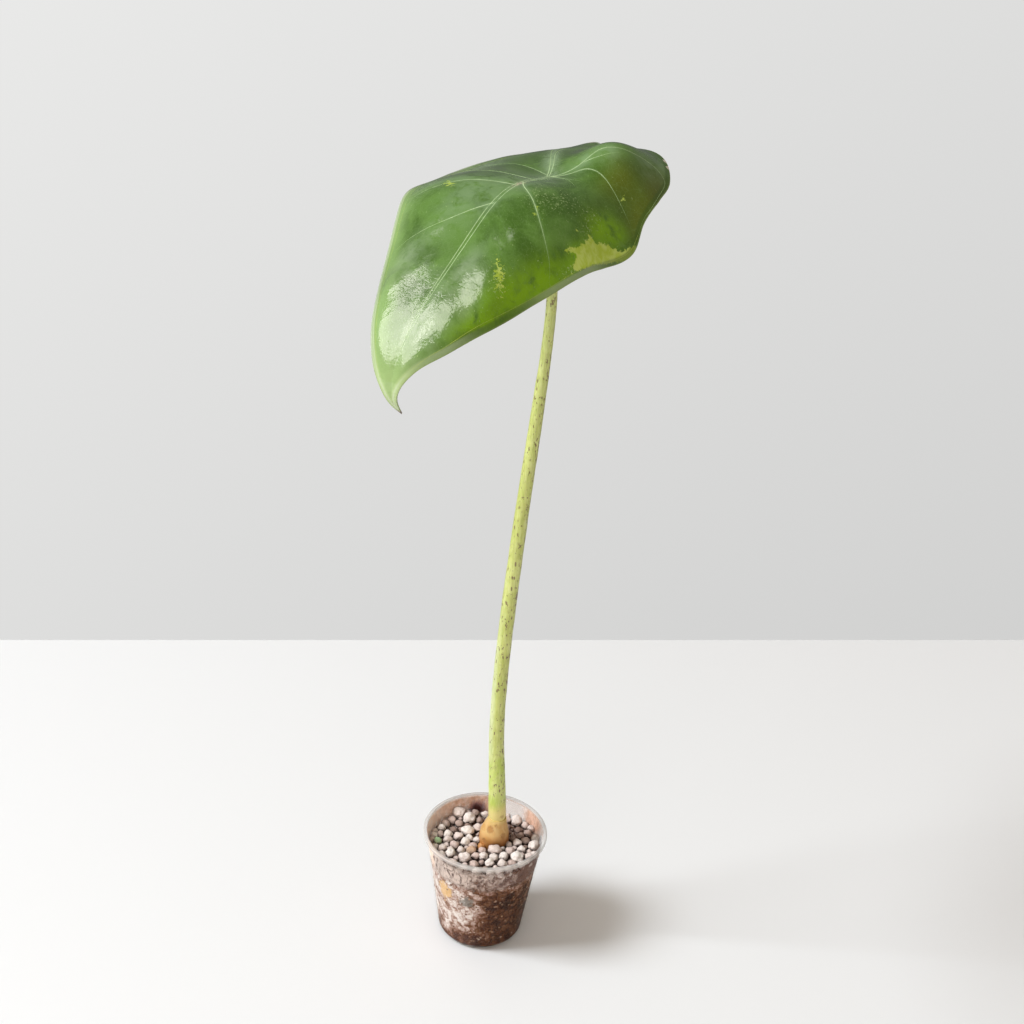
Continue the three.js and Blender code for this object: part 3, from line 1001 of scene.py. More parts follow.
petioleRings = [
    (6.2, 2, 74.9, 5.0), (4.6, 2.5, 100, 4.7), (2.7, 4, 130, 4.15), (2.8, 5.5, 165, 4.0),
    (4.8, 7, 210, 3.9), (8, 8, 260, 3.6), (11.9, 9, 312, 3.25), (14.8, 9, 355, 2.7),
    (14.9, 7, 384, 2.6), (12, 2.6, 410, 2.5), (9.5, -0.6, 427, 2.6), (9.2, -1, 432.7, 2.8),
]
petiole = {
    "steps": 260,
    "roundness": 10,
    "waves": (9.0, 0.35),
    # its foot reaches a little into the corm's neck
    "sunk": 1.5,
    "footInset": 0.7,
    "fleckSize": 1.9,
    # heights between which the skin's tones fade in
    "flecksFrom": (78.0, 90.0),
    "sheath": (120.0, 116.0),
    "filmFoot": (105.0, 125.0),
    "filmTop": (225.0, 150.0),
    "footEnd": (89.0, 79.0),
    "underLeaf": (260.0, 420.0),
    # above the sheath and on it
    "skin": ((0.5, 0.54, 0.15), (0.47, 0.58, 0.1)),
    # the side that faces the window, where a silvery sheen is painted
    "windowSide": (-0.95, -0.3, 0),
    "shades": {
        "underLeaf": (0.5, 0.55, 0.21),
        "pale": (0.6, 0.64, 0.22),
        "paleFibres": (0.66, 0.71, 0.31),
        "darkFibres": (0.36, 0.44, 0.08),
        # a painted sheen on the side that faces the window
        "film": (0.61, 0.67, 0.45),
        "foot": (0.8, 0.66, 0.27),
        "stains": (0.3, 0.27, 0.09),
        "flecks": (0.16, 0.09, 0.045),
        "scars": (0.36, 0.2, 0.06),
    },
}


def fleckMask(place, wobble, facing):
    # brown flecks that run along the stalk
    flecks = cells(objectPlace((1, 1, 0.36)), petiole["fleckSize"])
    shape = flecks + wobble * 0.4
    reach = between(draw(flecks, 1), 0, 1, 0.3, 0.48)
    fleck = fade(reach - shape, 0.0, 0.08) * fade(draw(flecks), 0.26, 0.3)
    # and fine dashes in loose groups
    group = noise(place, 8, 3) + facing * -0.12
    dash = noise(objectPlace((1, 1, 0.5)), 1.5, 3, 0.65, 0.4) + group * 0.3
    return larger(fleck, fade(dash, 0.755, 0.79))


def petioleMaterial():
    newMaterial("petiole_skin")
    place = objectPlace()
    x, _, height = parts(place)
    fibre = noise(objectPlace((1, 1, 0.12)), 0.9, 4, 0.6)
    soft = noise(place, 11, 4, 0.6)
    wobble = noise(place, 1.1, 4, 0.65)
    facing = dot(add("NewGeometry", None, "Normal"), petiole["windowSide"])
    # film is a painted sheen, on the side that faces the window, between these heights
    film = fade(height, *petiole["filmTop"]) * fade(height, *petiole["filmFoot"])
    foot = height - x * 0.3 + wobble * 4
    fleck = fleckMask(place, wobble, facing) * fade(height, *petiole["flecksFrom"])
    stain = noise(objectPlace((1, 1, 0.5)), 3.2, 5, 0.65, 0.4)
    # bright where the sheath wraps the foot, duller above it, greyer under the leaf
    sheath = fade(height + soft * 14 - x * 1.2, *petiole["sheath"])
    base = layered(
        paint(*petiole["skin"], sheath), petiole["shades"],
        underLeaf=fade(height, *petiole["underLeaf"]),
        pale=fade(soft, 0.42, 0.68),
        paleFibres=fade(fibre, 0.5, 0.66) * 0.5,
        darkFibres=fade(fibre, 0.48, 0.34) * 0.5,
        # a painted sheen on the window side
        film=film * fade(facing, 0.5, 0.95) * 0.45,
        foot=fade(foot, *petiole["footEnd"]) * 0.9,
        stains=fade(stain, 0.56, 0.68) * 0.4,
        flecks=fleck * 0.85,
        scars=scarMask(place, wobble) * 0.6)
    return surface(base, 0.38, fibre - fleck, 0.12, Subsurface_Weight=0.2,
                   Subsurface_Radius=(0.0015, 0.002, 0.0006))


def makePetiole():
    rings = spaced(splineThrough(petioleRings, 20), petiole["steps"])
    rings[0, 2] -= petiole["sunk"]
    rings[0, 3] -= petiole["footInset"]
    body = tubeAlong(rings[:, :3] * mm, rings[:, 3] * mm, petiole["roundness"])
    displace(body, "waves", *petiole["waves"])
    applyAll(body)
    smooth(body)
    finishPiece(body, "petiole_stalk", [petioleMaterial()], "petiole", "petiole")


makeCorm()
makePetiole()
print("the corm and the petiole are made")


# Leaf blade. A place on the flat leaf is s along the midrib, the tip side positive, and w across it,
# the near half positive, both from the stalk. The stations then bend it.

leaf = {
    "stalkTop": (9.2, -1.0, 434.3),
    "heading": 240.0,
    "firstStation": -80.0,
    "stationStep": 20.0,
    "climb": (0, -1, -11, -7, 5, 3, -16, -36, -36, -33, -46, -71, -135),
    "nearCurl": (16, 31, 37, 32, 44, 59, 65, 67, 62, 52, 40, 24, 10),
    "farCurl": (42, 28, 16, 10, 13, 20, 21, 24, 28, 29, 23, 12, 0),
    "curlWidth": (46, 48, 50, 51, 52, 53, 52, 48, 41, 33, 22, 10, 4),
    "pillow": 2.0,
    "pillowWidth": 50.0,
    "creaseFrom": -10.0,
    "creaseTo": 20.0,
    "lobeRises": ((-31, 17, 12.5), (-57, -23, -2.5)),
    "lobeRiseRadius": 15.0,
    "length": 163.0,
    "veinLean": 0.4,
    "thickness": 0.7,
    "veinSink": 0.72,
    "lobeRays": 80,
    "frontRibs": 130,
    "acrossSteps": 44,
}
nearOutline = [
    (-46, 1), (-54, 4), (-62, 10), (-66, 19), (-61, 30.5), (-46, 41), (-28, 45), (-10, 48.5), (6, 58),
    (24, 57.5), (42, 55), (60, 51), (84, 39.5), (106, 30), (124, 20.5), (138, 9.5), (149, 3),
    (158, 1.2), (163, 0),
]
farOutline = [
    (-46, -1), (-56, -4), (-68, -9), (-76, -19), (-68, -33), (-48, -45), (-28, -49), (-8, -53.5),
    (12, -52.5), (36, -54.5), (60, -48.5), (84, -40), (106, -29), (124, -20.5), (138, -12.5),
    (149, -5.5), (158, -1.6), (163, 0),
]

# Veins as points of s and w, with the width that shows at the start and at the end
veins = {
    "midrib": ([(-2, 0.8), (10, 0.85), (40, 0.85), (80, 0.75), (120, 0.5), (150, 0.1)], 0.5, 0.2),
    "midribFar": ([(-2, -0.8), (10, -0.85), (40, -0.85), (80, -0.75), (120, -0.5), (146, -0.1)],
                  0.5, 0.2),
    "nearLateral": ([(22, 0), (29.5, 5), (39, 15.5), (50, 26), (58.5, 33.5), (64, 38), (70, 41.5)],
                    0.75, 0.15),
    "lobeLateral": ([(-1, 1), (-6, 6.5), (-11, 11.5), (-12, 17), (-10.5, 24), (-7, 33), (-4, 41),
                     (-2.5, 46)], 0.6, 0.15),
    "nearCosta": ([(-1, 0.6), (-8, 4.4), (-14.5, 8), (-20.5, 10.5), (-25.5, 13.5), (-30, 19.8),
                   (-35.5, 25.5), (-41, 29.5), (-44.5, 34), (-44, 38.5), (-40, 41), (-30, 43.3),
                   (-20, 45.3), (-11, 47), (-3, 51.2)], 0.6, 0.15),
    "costaBranch": ([(-16.5, 9.5), (-20, 15), (-23, 18.5), (-28, 23)], 0.35, 0.1),
    "shortFirst": ([(-1, 2), (0, 7), (0, 11.5), (-1.5, 17)], 0.3, 0.1),
    "shortSecond": ([(0, 2), (0.5, 7), (2, 12), (6.5, 18)], 0.3, 0.1),
    "nearMargin": ([(-3, 51.2), (6, 56), (17, 56.2), (28, 54.6), (42, 52.2), (60, 47.4), (78, 39.4),
                    (90.5, 33.2), (105, 26.3), (121.5, 18.5), (131, 12), (141, 5.5)], 0.2, 0.25),
    "farCosta": ([(-1, -1.2), (-18.5, -9.6), (-44, -23.6), (-56, -28)], 0.7, 0.3),
    "farCostaSecond": ([(-1, -0.2), (-18.5, -7.8), (-40, -18.5), (-58, -21)], 0.6, 0.3),
    "farLobeLateral": ([(-3, -2), (-10, -14), (-14, -28), (-12, -43)], 0.5, 0.15),
    "farFirst": ([(12, 0), (13, -12), (11, -26), (5, -40), (2, -47)], 0.8, 0.2),
    "farSecond": ([(28, 0), (31, -12), (34, -22), (42, -36), (50, -46)], 0.8, 0.2),
    "farThird": ([(47, 0), (54, -6.5), (63, -15), (75, -29.5), (81, -36)], 0.55, 0.15),
    "farMargin": ([(-56, -28), (-47, -40), (-28, -44.5), (-8, -48.5), (12, -47.8), (36, -49.5),
                   (60, -44), (84, -36), (106, -25.5), (124, -17), (138, -9.5), (148, -4)], 0.2, 0.2),
}
# Below, each vein is a wider rib, and the midrib has its own line
ribWidths = {"share": 1.5, "more": 0.3}
midribBelow = ([(-3, 0), (40, 0), (80, 0), (120, 0), (155, 0)], 2.6, 0.7)
# Veins that only crease the blade
faintVeins = {
    "nearSecond": ([(46, 0), (57, 10), (68, 21), (77, 30), (84, 35.5)], 0.3, 0.15),
    "nearThird": ([(74, 0), (86, 12), (97, 22), (104, 26)], 0.3, 0.15),
    "nearFourth": ([(98, 0), (108, 9), (117, 16), (122, 18.5)], 0.3, 0.15),
    "farFourth": ([(74, 0), (84, -11), (93, -20), (101, -26)], 0.3, 0.15),
    "farFifth": ([(98, 0), (108, -9), (116, -16), (120, -18)], 0.3, 0.15),
}


def along(values, s):
    place = (s - leaf["firstStation"]) / leaf["stationStep"]
    return curveAt(values, np.clip(place, 0, len(values) - 1 - 1e-9))


def bendMidrib():
    # forward distance and height of the bent midrib, stepped out both ways from the stalk
    reach = int(leaf["length"]) + 3
    half = np.arange(1, reach)
    places, forwards, heights = [0], [0], [0]
    for direction in (1, -1):
        climbs = np.radians(along(leaf["climb"], direction * (half - 0.5)))
        places += list(direction * half)
        forwards += list(direction * np.cumsum(np.cos(climbs)))
        heights += list(direction * np.cumsum(np.sin(climbs)))
    order = np.argsort(places)
    return [np.array(values, float)[order] for values in (places, forwards, heights)]


midrib = bendMidrib()
heading = math.radians(leaf["heading"])
ahead = np.array([math.cos(heading), math.sin(heading), 0])
nearSide = np.array([-math.sin(heading), math.cos(heading), 0])
upward = np.array([0, 0, 1])


def smoothStep(value, low, high):
    t = np.clip((value - low) / (high - low), 0, 1)
    return t * t * (3 - 2 * t)


def bladePoint(s, w):
    climb = np.radians(along(leaf["climb"], s))
    lift = -np.sin(climb)[..., None] * ahead + np.cos(climb)[..., None] * upward
    forward = np.interp(s, midrib[0], midrib[1])
    height = np.interp(s, midrib[0], midrib[2])
    curl = np.radians(np.where(w > 0, along(leaf["nearCurl"], s), along(leaf["farCurl"], s)))
    curl = np.maximum(curl, 1e-3)
    width = np.maximum(along(leaf["curlWidth"], s), 1)
    share = np.abs(w) / width
    out = np.sign(w) * width * np.sin(curl * share) / curl
    drop = width * (1 - np.cos(curl * share)) / curl
    crease = 2 - smoothStep(s, leaf["creaseFrom"], leaf["creaseTo"])
    swell = np.maximum(np.sin(np.pi * np.minimum(share, 1)), 0) ** crease
    pillow = leaf["pillow"] * swell * np.minimum(width / leaf["pillowWidth"], 1)
    rise = sum(size * np.exp(-((s - riseS) ** 2 + (w - riseW) ** 2) / (2 * leaf["lobeRiseRadius"] ** 2))
               for riseS, riseW, size in leaf["lobeRises"])
    point = np.array(leaf["stalkTop"]) + forward[..., None] * ahead + height[..., None] * upward
    return point + out[..., None] * nearSide + (pillow - drop + rise)[..., None] * lift


def raisedPoint(s, w, rise, step=0.25):
    # a point of the blade, raised square to it
    forward = bladePoint(s + step, w) - bladePoint(s - step, w)
    side = bladePoint(s, w + step) - bladePoint(s, w - step)
    normal = np.cross(forward, side)
    normal = normal / np.linalg.norm(normal, axis=-1, keepdims=True)
    return bladePoint(s, w) + normal * rise[:, None]


def halfGrid(outline):
    # s and w of one half: rays from the stalk fill the rear lobe, slanted ribs the front
    margin = splineThrough(outline, 60)
    foot = margin[:, 0] - leaf["veinLean"] * np.abs(margin[:, 1])
    split = int(np.argmax(foot >= 0))
    rear = spaced(margin[:split + 1], leaf["lobeRays"] + 1)
    starts = leaf["length"] * (1 - (1 - np.arange(1, leaf["frontRibs"] + 1) / leaf["frontRibs"]) ** 1.4)
    front = np.stack([np.interp(starts, foot[split:], margin[split:, k]) for k in (0, 1)], 1)
    starts = np.concatenate([np.zeros(len(rear)), starts])
    ends = np.concatenate([rear, front])
    t = np.linspace(0, 1, leaf["acrossSteps"] + 1)
    s = starts[:, None] + (ends[:, 0] - starts)[:, None] * t
    w = ends[:, 1][:, None] * t
    return s, w


def distanceToLine(s, w, line):
    # least distance from each place to a line of points, and how far along the line that is
    best = np.full(s.shape, 1e9)
    share = np.zeros(s.shape)
    for i in range(len(line) - 1):
        a, b = line[i], line[i + 1]
        step = b - a
        t = np.clip(((s - a[0]) * step[0] + (w - a[1]) * step[1]) / (step @ step), 0, 1)
        away = np.hypot(s - a[0] - t * step[0], w - a[1] - t * step[1])
        closer = away < best
        best = np.where(closer, away, best)
        share = np.where(closer, (i + t) / (len(line) - 1), share)
    return best, share


leafMarks = {
    # soft areas: centre s and w, half length, half width, turn in degrees
    # backlight: painted light shining through the thin blade near the margin
    "glow": [(84, 32, 20, 8, -30), (72, 39, 16, 8, -20), (107, 25, 16, 4.5, -28), (17, 42, 12, 8, 20),
             (9, 46, 7, 5, 20), (45, 45, 12, 4, 0)],
    "olive": [(-28, 42, 20, 7, 12), (-8, 45, 12, 8, 30), (-14, 30, 14, 8, 0)],
    "young": [(120, -20, 36, 9, 22), (152, -1, 20, 9, 0), (74, -44, 40, 7, 16), (20, -54, 60, 5, 0)],
    # frost: frosty bands along the costae, and one painted sheen near the far edge
    "frost": [(-24, -11.5, 22, 3.2, 26), (-48, -23, 10, 3.4, 20), (8, 0, 16, 1.6, 0),
              (6, -43, 34, 7, 0)],
    # haze: a painted sheen, greyish light as if reflected on the blade
    "haze": [(20, 4, 18, 7, 0), (8, 2, 12, 8, 0), (26, -6, 11, 5, 0), (46, -2, 14, 4, 0),
             (16, 0, 15, 7, 0), (97, -14, 9, 8, -20), (84, -24, 12, 7, -15), (116, 2, 22, 14, 0),
             (-24, -13, 26, 4, 27), (44, -14, 24, 10, 0), (97, 16.5, 13, 4, 15), (-17, 9, 11, 5, 0),
             (84, 8, 12, 5, 0), (-40, 33, 14, 8, 30), (-27, 17, 10, 6, 45),
             (-50, 33, 12, 6, 35), (34, -32, 18, 7, -72), (-13, -40, 6, 9, 0), (12, -36, 14, 12, 0),
             (2, -46, 20, 6, 0)],
    "deep": [(-3, 38, 10, 6, 50), (4, 32, 14, 5, 10), (113, 24, 9, 2.5, -32)],
    # where the near margin rolls under and catches the light
    "rolled": [(44, 52, 24, 7, -12), (68, 45, 16, 6, -28), (124, 17.5, 14, 4, -35)],
    "speckles": [(36, 18, 9, 7, 20), (26, 24, 12, 7, 10), (20, 36, 9, 5, 20), (58, 47, 9, 3, -15),
                 (28, 41, 10, 4, 0), (86, 22, 8, 5, 0), (30, 12, 10, 5, 0)],
    # a scraped spot where the first vein leaves, and the torn, dry places of the lobes
    "scar": [(25, 0.5, 5, 1.3, 0)],
    "dry": [(-62, 30, 3.5, 2.5, 0), (-57, 34, 2.5, 2, 0), (-76, -19, 3, 4, 0)],
}
# Where parts of the leaf begin: places along the midrib, and across it for the far half
leafParts = {"front": (60, 100), "tipward": (122, 147), "tip": (158, 161), "far": (4, 18)}
# Cream patches: the outline of the large one as s and w, and ovals, given as above, for the others
creamOutline = [
    (56, 46.5), (51, 46.3), (46, 46.3), (46.3, 44), (52, 40.5), (49, 40), (43, 43), (35.5, 44),
    (30.5, 43.5), (27, 42.3), (26, 45), (25.5, 46.8), (20.5, 47.5), (16.5, 49.5), (13.5, 52),
    (10, 54.5), (5, 54.5), (1.5, 55), (2, 58), (8.5, 59), (17, 57.2), (28, 54.8), (42, 52.3),
    (52.5, 49.7),
]
creamOvals = [
    (82.5, 22, 7.5, 2.6, 32), (44.5, 20, 4.2, 1.7, 40), (39, -28.5, 5, 2.6, 40), (35, 38, 2, 1.2, 0),
    (59, 47.5, 4, 1.2, -15), (-9, 36, 2, 1.2, 0), (26, 1, 4, 1.0, 0),
]
quilt = {
    "height": -0.39,
    "width": 6.0,
    "rear": 0.5,
    "margin": 9.0,
    "grooveDepth": 0.5,
    "grooveWidth": 2.0,
    # single swellings: s, w, height, radius
    "swellings": [(103.1, -24.5, 1.46, 8.8), (63.9, 59.2, -0.82, 13.8), (128.7, 18.9, 0.63, 8.7),
                  (121.2, -4.6, -1.29, 16.4), (104, -9, -0.86, 8.7), (96.7, 25.5, 1.42, 7.2),
                  (51.8, -7.5, -1.3, 22.1), (83, 20.9, 1.38, 10.5)],
}


def insideOutline(s, w, outline):
    # how far inside a closed outline each place is, in millimetres; negative outside it
    closed = np.array(outline + outline[:1], float)
    inside = np.zeros(s.shape, bool)
    for (s1, w1), (s2, w2) in zip(closed[:-1], closed[1:]):
        crosses = (w1 > w) != (w2 > w)
        where = (s2 - s1) * (w - w1) / (w2 - w1 if w2 != w1 else 1) + s1
        inside ^= crosses & (s < where)
    away = distanceToLine(s, w, closed)[0]
    return np.where(inside, away, -away)


def ovalPlace(s, w, centreS, centreW, lengthS, lengthW, turn):
    # the place as seen from an oval's middle, 1 at its rim both ways
    angle = math.radians(turn)
    a = (s - centreS) * math.cos(angle) + (w - centreW) * math.sin(angle)
    b = -(s - centreS) * math.sin(angle) + (w - centreW) * math.cos(angle)
    return a / lengthS, b / lengthW


def softAreas(s, w, name):
    # soft ovals, 1 in their middles
    rest = 1
    for oval in leafMarks[name]:
        a, b = ovalPlace(s, w, *oval)
        rest = rest * (1 - np.exp(-a ** 2 - b ** 2))
    return 1 - rest


def ovalField(s, w, oval):
    # roughly how far inside an oval each place is, in millimetres
    return (1 - np.hypot(*ovalPlace(s, w, *oval))) * oval[3]


def leafRelief(s, w):
    # veins lie in shallow grooves, and the blade swells and sinks between them
    groove = np.zeros(s.shape)
    pale = np.zeros(s.shape)
    veinAway = np.full(s.shape, 1e9)
    for name, (line, startWidth, endWidth) in {**veins, **faintVeins}.items():
        away, share = distanceToLine(s, w, splineThrough(line, 4))
        width = startWidth + (endWidth - startWidth) * share
        groove = np.maximum(groove, np.exp(-(away / quilt["grooveWidth"]) ** 2) * width)
        if "Margin" not in name:
            pale = np.maximum(pale, np.exp(-(away / (0.5 + width)) ** 2) * width)
            veinAway = np.minimum(veinAway, away)
    edge = np.minimum(*(distanceToLine(s, w, splineThrough(outline, 6))[0]
                        for outline in (nearOutline, farOutline)))
    swell = 1 - np.exp(-(veinAway / quilt["width"]) ** 2)
    swell *= quilt["rear"] + (1 - quilt["rear"]) * smoothStep(s, 55, 95)
    inward = smoothStep(edge, 1, quilt["margin"])
    rise = (quilt["height"] * (swell - 0.35) - 0.06) * inward - quilt["grooveDepth"] * groove
    for atS, atW, height, radius in quilt["swellings"]:
        rise += height * np.exp(-((s - atS) ** 2 + (w - atW) ** 2) / radius ** 2) * inward
    return rise, pale, edge


def makeLeafMesh():
    places, faces, firstRays = [], [], []
    count = 0
    for outline, flip in ((nearOutline, False), (farOutline, True)):
        s, w = halfGrid(outline)
        rows, columns = s.shape
        places.append(np.stack([s.ravel(), w.ravel()], 1))
        firstRays.append(count)
        for i in range(rows - 1):
            for k in range(columns - 1):
                corner = count + i * columns + k
                face = (corner, corner + columns, corner + columns + 1, corner + 1)
                faces.append(face[::-1] if flip else face)
        count += rows * columns
    # the two halves meet behind the stalk too
    near, far = firstRays
    faces += [(far + k, near + k, near + k + 1, far + k + 1) for k in range(columns - 1)]
    s, w = np.concatenate(places).T

    rise, pale, edge = leafRelief(s, w)
    points = raisedPoint(s, w, rise)
    outside = -9
    fields = {
        "pale": pale,
        "edge": edge,
        "front": smoothStep(s, *leafParts["front"]),
        "tip": smoothStep(s, *leafParts["tip"]),
        "tipward": smoothStep(s, *leafParts["tipward"]),
        "far": smoothStep(-w, *leafParts["far"]),
        "patch": np.maximum(insideOutline(s, w, creamOutline), outside),
        "ovals": np.maximum(np.max([ovalField(s, w, oval) for oval in creamOvals], axis=0), outside),
    }
    fields.update({name: softAreas(s, w, name) for name in leafMarks})
    # flat is the place on the flat leaf; ripple is the same place squeezed along the side veins
    fields["flat"] = np.stack([s, w, 0 * s], 1)
    fields["ripple"] = np.stack([s - 0.75 * np.abs(w), 0.5 * w, 0 * s], 1)
    mesh = bpy.data.meshes.new("leaf")
    mesh.from_pydata((points * mm).tolist(), [], faces)
    for name, values in fields.items():
        kind, key = ("FLOAT", "value") if values.ndim == 1 else ("FLOAT_VECTOR", "vector")
        layer = mesh.attributes.new(name, kind, "POINT")
        layer.data.foreach_set(key, values.astype(np.float32).ravel())
    return mesh


leafLook = {
    "ground": ((0.055, 0.12, 0.014), (0.11, 0.215, 0.038)),
    # the painted sheen's colours, behind the front part and on it
    "haze": ((0.23, 0.34, 0.17), (0.31, 0.38, 0.24)),
    "cream": ((0.38, 0.49, 0.05), (0.47, 0.57, 0.12)),
    "netSize": 2.4,
    "crackleSize": 2.6,
    "roughness": (0.075, 0.14),
    "shades": {
        "lines": (0.15, 0.26, 0.07),
        "olive": (0.11, 0.135, 0.008),
        "glow": (0.19, 0.36, 0.005),
        "deep": (0.05, 0.09, 0.008),
        "young": (0.3, 0.45, 0.16),
        "tipward": (0.42, 0.53, 0.22),
        "net": (0.25, 0.38, 0.14),
        "flakes": (0.42, 0.54, 0.22),
        "frost": (0.4, 0.54, 0.3),
        "besideVeins": (0.27, 0.4, 0.19),
        "farLine": (0.55, 0.62, 0.42),
        "scar": (0.6, 0.5, 0.36),
        "rim": (0.24, 0.3, 0.11),
        "farRim": (0.5, 0.56, 0.42),
        "tip": (0.13, 0.08, 0.035),
        "dry": (0.6, 0.55, 0.42),
    },
    "band": (0.06, 0.115, 0.014),
    "bandShades": {"rolled": (0.34, 0.4, 0.24), "young": (0.28, 0.39, 0.13), "tipward": (0.46, 0.57, 0.27)},
    "underside": ((0.17, 0.27, 0.1), (0.24, 0.35, 0.15)),
    "undersideShades": {"veins": (0.4, 0.48, 0.24), "young": (0.36, 0.5, 0.2), "net": (0.38, 0.46, 0.24)},
    "veinTones": [(0.0, (0.36, 0.43, 0.04)), (0.1, (0.36, 0.43, 0.04)), (0.3, (0.22, 0.35, 0.1)),
                  (1.0, (0.56, 0.72, 0.38))],
    "veinMottle": (0.2, 0.32, 0.1),
}


def leafMaterial():
    newMaterial("leaf_top")
    place = attribute("flat", "Vector")
    squeezed = attribute("ripple", "Vector")
    broad = noise(place, 22, 4, 0.55, 0.6)
    soft = noise(place, 6, 5, 0.6, 0.4)
    fine = noise(place, 1.1, 5, 0.65)
    crisp = noise(place, 2.0, 7, 0.72, 0.6)
    ripples = noise(squeezed, 2.6, 2, 0.5, 0.8)
    lines = noise(squeezed, 0.8, 3, 0.6)
    front, edge, young, tipward = (attribute(name) for name in ("front", "edge", "young", "tipward"))
    shades = leafLook["shades"]

    base = paint(*leafLook["ground"], fade(broad, 0.38, 0.64))
    base = layered(base, shades, lines=fade(lines, 0.5, 0.72) * 0.3)
    # a painted sheen of greyish light over the blade
    base = paint(base, paint(*leafLook["haze"], front), attribute("haze") * fade(soft, 0.22, 0.6) * 0.6)
    base = layered(
        base, shades,
        olive=attribute("olive") * 0.9,
        # painted light shining through the blade
        glow=attribute("glow") * fade(soft, 0.2, 0.55),
        deep=attribute("deep") * 0.6,
        young=young * 0.85,
        tipward=tipward * 0.35,
        # fine net between the veins
        net=fade(borders(place, leafLook["netSize"]), 0.06, 0.0) * 0.12)
    # cream patches, their borders broken up finely
    cream = paint(*leafLook["cream"], fade(soft, 0.4, 0.6))
    torn = attribute("patch") + (crisp - 0.5) * 6
    ragged = attribute("ovals") + (crisp - 0.56) * 16
    base = paint(base, cream, fade(torn, -0.2, 0.25))
    base = paint(base, cream, fade(ragged, 0.0, 0.5) * 0.9)
    flakes = noise(place, 1.3, 3, 0.85, 0.5) + attribute("speckles") * 0.1
    base = layered(
        base, shades,
        flakes=fade(flakes, 0.67, 0.7) * 0.7,
        # frosty bands, and a painted sheen on the far half
        frost=attribute("frost") * fade(lines, 0.35, 0.6) * 0.75,
        besideVeins=fade(attribute("pale"), 0.1, 0.7) * 0.55)
    # a darker band along the margin: partly its own darker green, partly painted shade where the margin
    # turns down, and paler where it rolls under and catches the light
    band = layered(leafLook["band"], leafLook["bandShades"], rolled=attribute("rolled"), young=young,
                   tipward=tipward)
    base = paint(base, band, fade(edge, 3.4, 2.2) * 0.6)
    base = layered(
        base, shades,
        # a painted highlight: a pale line of light just inside the far margin
        farLine=fade(abs(edge - 1.7), 0.7, 0.1) * young * 0.5,
        scar=attribute("scar") * fade(crisp, 0.4, 0.55),
        rim=fade(edge, 0.8, 0.2) * 0.5,
        farRim=fade(edge, 1.6, 0.5) * attribute("far") * 0.75,
        tip=attribute("tip"),
        dry=fade(attribute("dry") + crisp * 0.8, 0.95, 1.05))
    # wrinkles that follow the side veins, and a fine crackle
    crackle = fade(borders(bent(place, 2, 2, (1.6, 1.6, 0)), leafLook["crackleSize"]), 0.0, 0.2)
    relief = ripples * (front * 0.28) + fine * 0.12 + crackle * (front * 0.09) + soft * 0.5
    roughness = between(soft, 0.3, 0.7, *leafLook["roughness"])
    return surface(base, roughness, relief, 0.22, Specular_IOR_Level=0.5)


def undersideMaterial():
    newMaterial("leaf_underside")
    place = attribute("flat", "Vector")
    net = fade(borders(place, leafLook["netSize"]), 0.08, 0.0)
    base = layered(
        paint(*leafLook["underside"], fade(noise(place, 5, 5, 0.6), 0.35, 0.7)),
        leafLook["undersideShades"],
        veins=fade(attribute("pale"), 0.1, 0.9),
        young=attribute("young") * 0.6,
        net=net * 0.3)
    return surface(base, 0.5, noise(place, 0.9, 5, 0.65) - net, 0.08)


def veinMaterial():
    newMaterial("leaf_veins")
    place = objectPlace()
    base = paint(shaded(attribute("tone"), leafLook["veinTones"]), leafLook["veinMottle"],
                 fade(noise(place, 5, 3), 0.4, 0.65) * 0.35)
    return surface(base, 0.35, noise(place, 0.8, 3), 0.03)


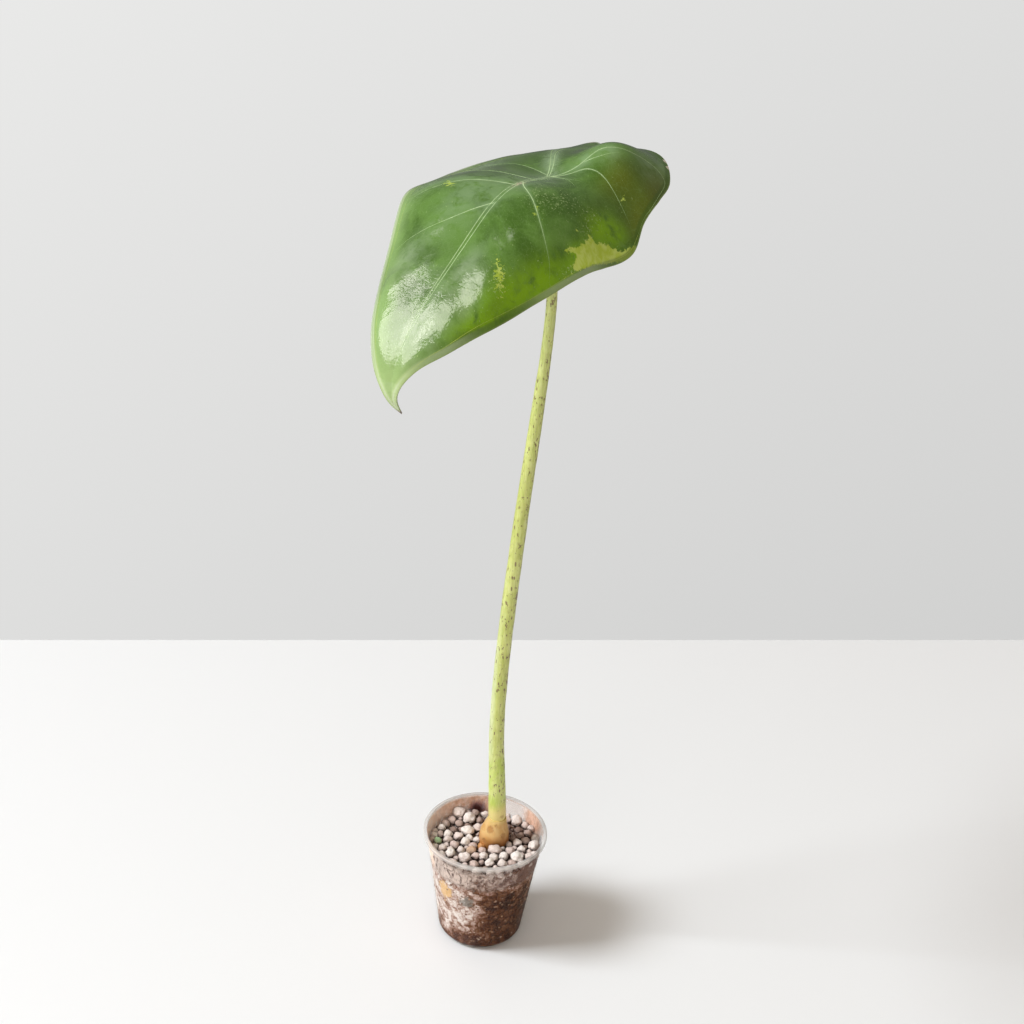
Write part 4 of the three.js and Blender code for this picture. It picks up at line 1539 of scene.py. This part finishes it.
def veinTube(line, startWidth, endWidth, depth, side, tones):
    # a tube sunk into the blade, of which only a strip shows; side is 1 above and -1 below
    flat = spaced(splineThrough(line, 12), max(8, 8 * len(line)))
    s, w = flat[:, 0], flat[:, 1]
    share = np.linspace(0, 1, len(s))
    width = startWidth + (endWidth - startWidth) * share
    radius = 0.5 * width * np.minimum(1, 6 * (1 - share) + 0.25)
    # the ribs below only just reach into the blade
    lift = leaf["thickness"] / 2 - depth * radius if side > 0 else 0.2 - radius
    points = raisedPoint(s, w, lift + leafRelief(s, w)[0])
    tube = tubeAlong(points * mm, radius * mm, 2)
    # tone goes from the vein's start to its end
    first, last = Vector(points[0] * mm), Vector(points[-1] * mm)
    tone = tube.data.attributes.new("tone", "FLOAT", "POINT")
    for value, vertex in zip(tone.data, tube.data.vertices):
        fromStart, toEnd = (vertex.co - first).length, (vertex.co - last).length
        value.value = tones[0] + (tones[1] - tones[0]) * fromStart / (fromStart + toEnd)
    return tube


def veinTones(name):
    # how pale a vein is at its start and at its end; 0 is the olive of the margin's line
    if "Margin" in name:
        return 0.0, 0.0
    return (1.0, 0.8) if "midrib" in name else (1.0, 0.3)


def makeLeaf():
    blade = bpy.data.objects.new("leaf", makeLeafMesh())
    bpy.context.scene.collection.objects.link(blade)
    mergeDoubles(blade, 2e-5)
    shell = blade.modifiers.new("thickness", "SOLIDIFY")
    shell.thickness = leaf["thickness"] * mm
    shell.offset = 0
    shell.material_offset = 1
    shell.material_offset_rim = 0
    finishPiece(blade, "leaf_surface", [leafMaterial(), undersideMaterial()], "leaf", "leaf_blade")
    applyAll(blade)
    smooth(blade)

    look = [veinMaterial()]
    upper = joined([veinTube(*vein, leaf["veinSink"], 1, veinTones(name))
                    for name, vein in veins.items()])
    smooth(upper)
    finishPiece(upper, "leaf_veins_upper", look, "leaf", "leaf_blade")

    below = [(line, *(ribWidths["share"] * width + ribWidths["more"] for width in widths))
             for name, (line, *widths) in veins.items() if not name.startswith("midrib")]
    below.append(midribBelow)
    ribs = joined([veinTube(*vein, 0, -1, (0.7, 0.5)) for vein in below])
    smooth(ribs)
    finishPiece(ribs, "leaf_ribs_under", look, "leaf", "leaf_blade")


makeLeaf()
print("the leaf is made")
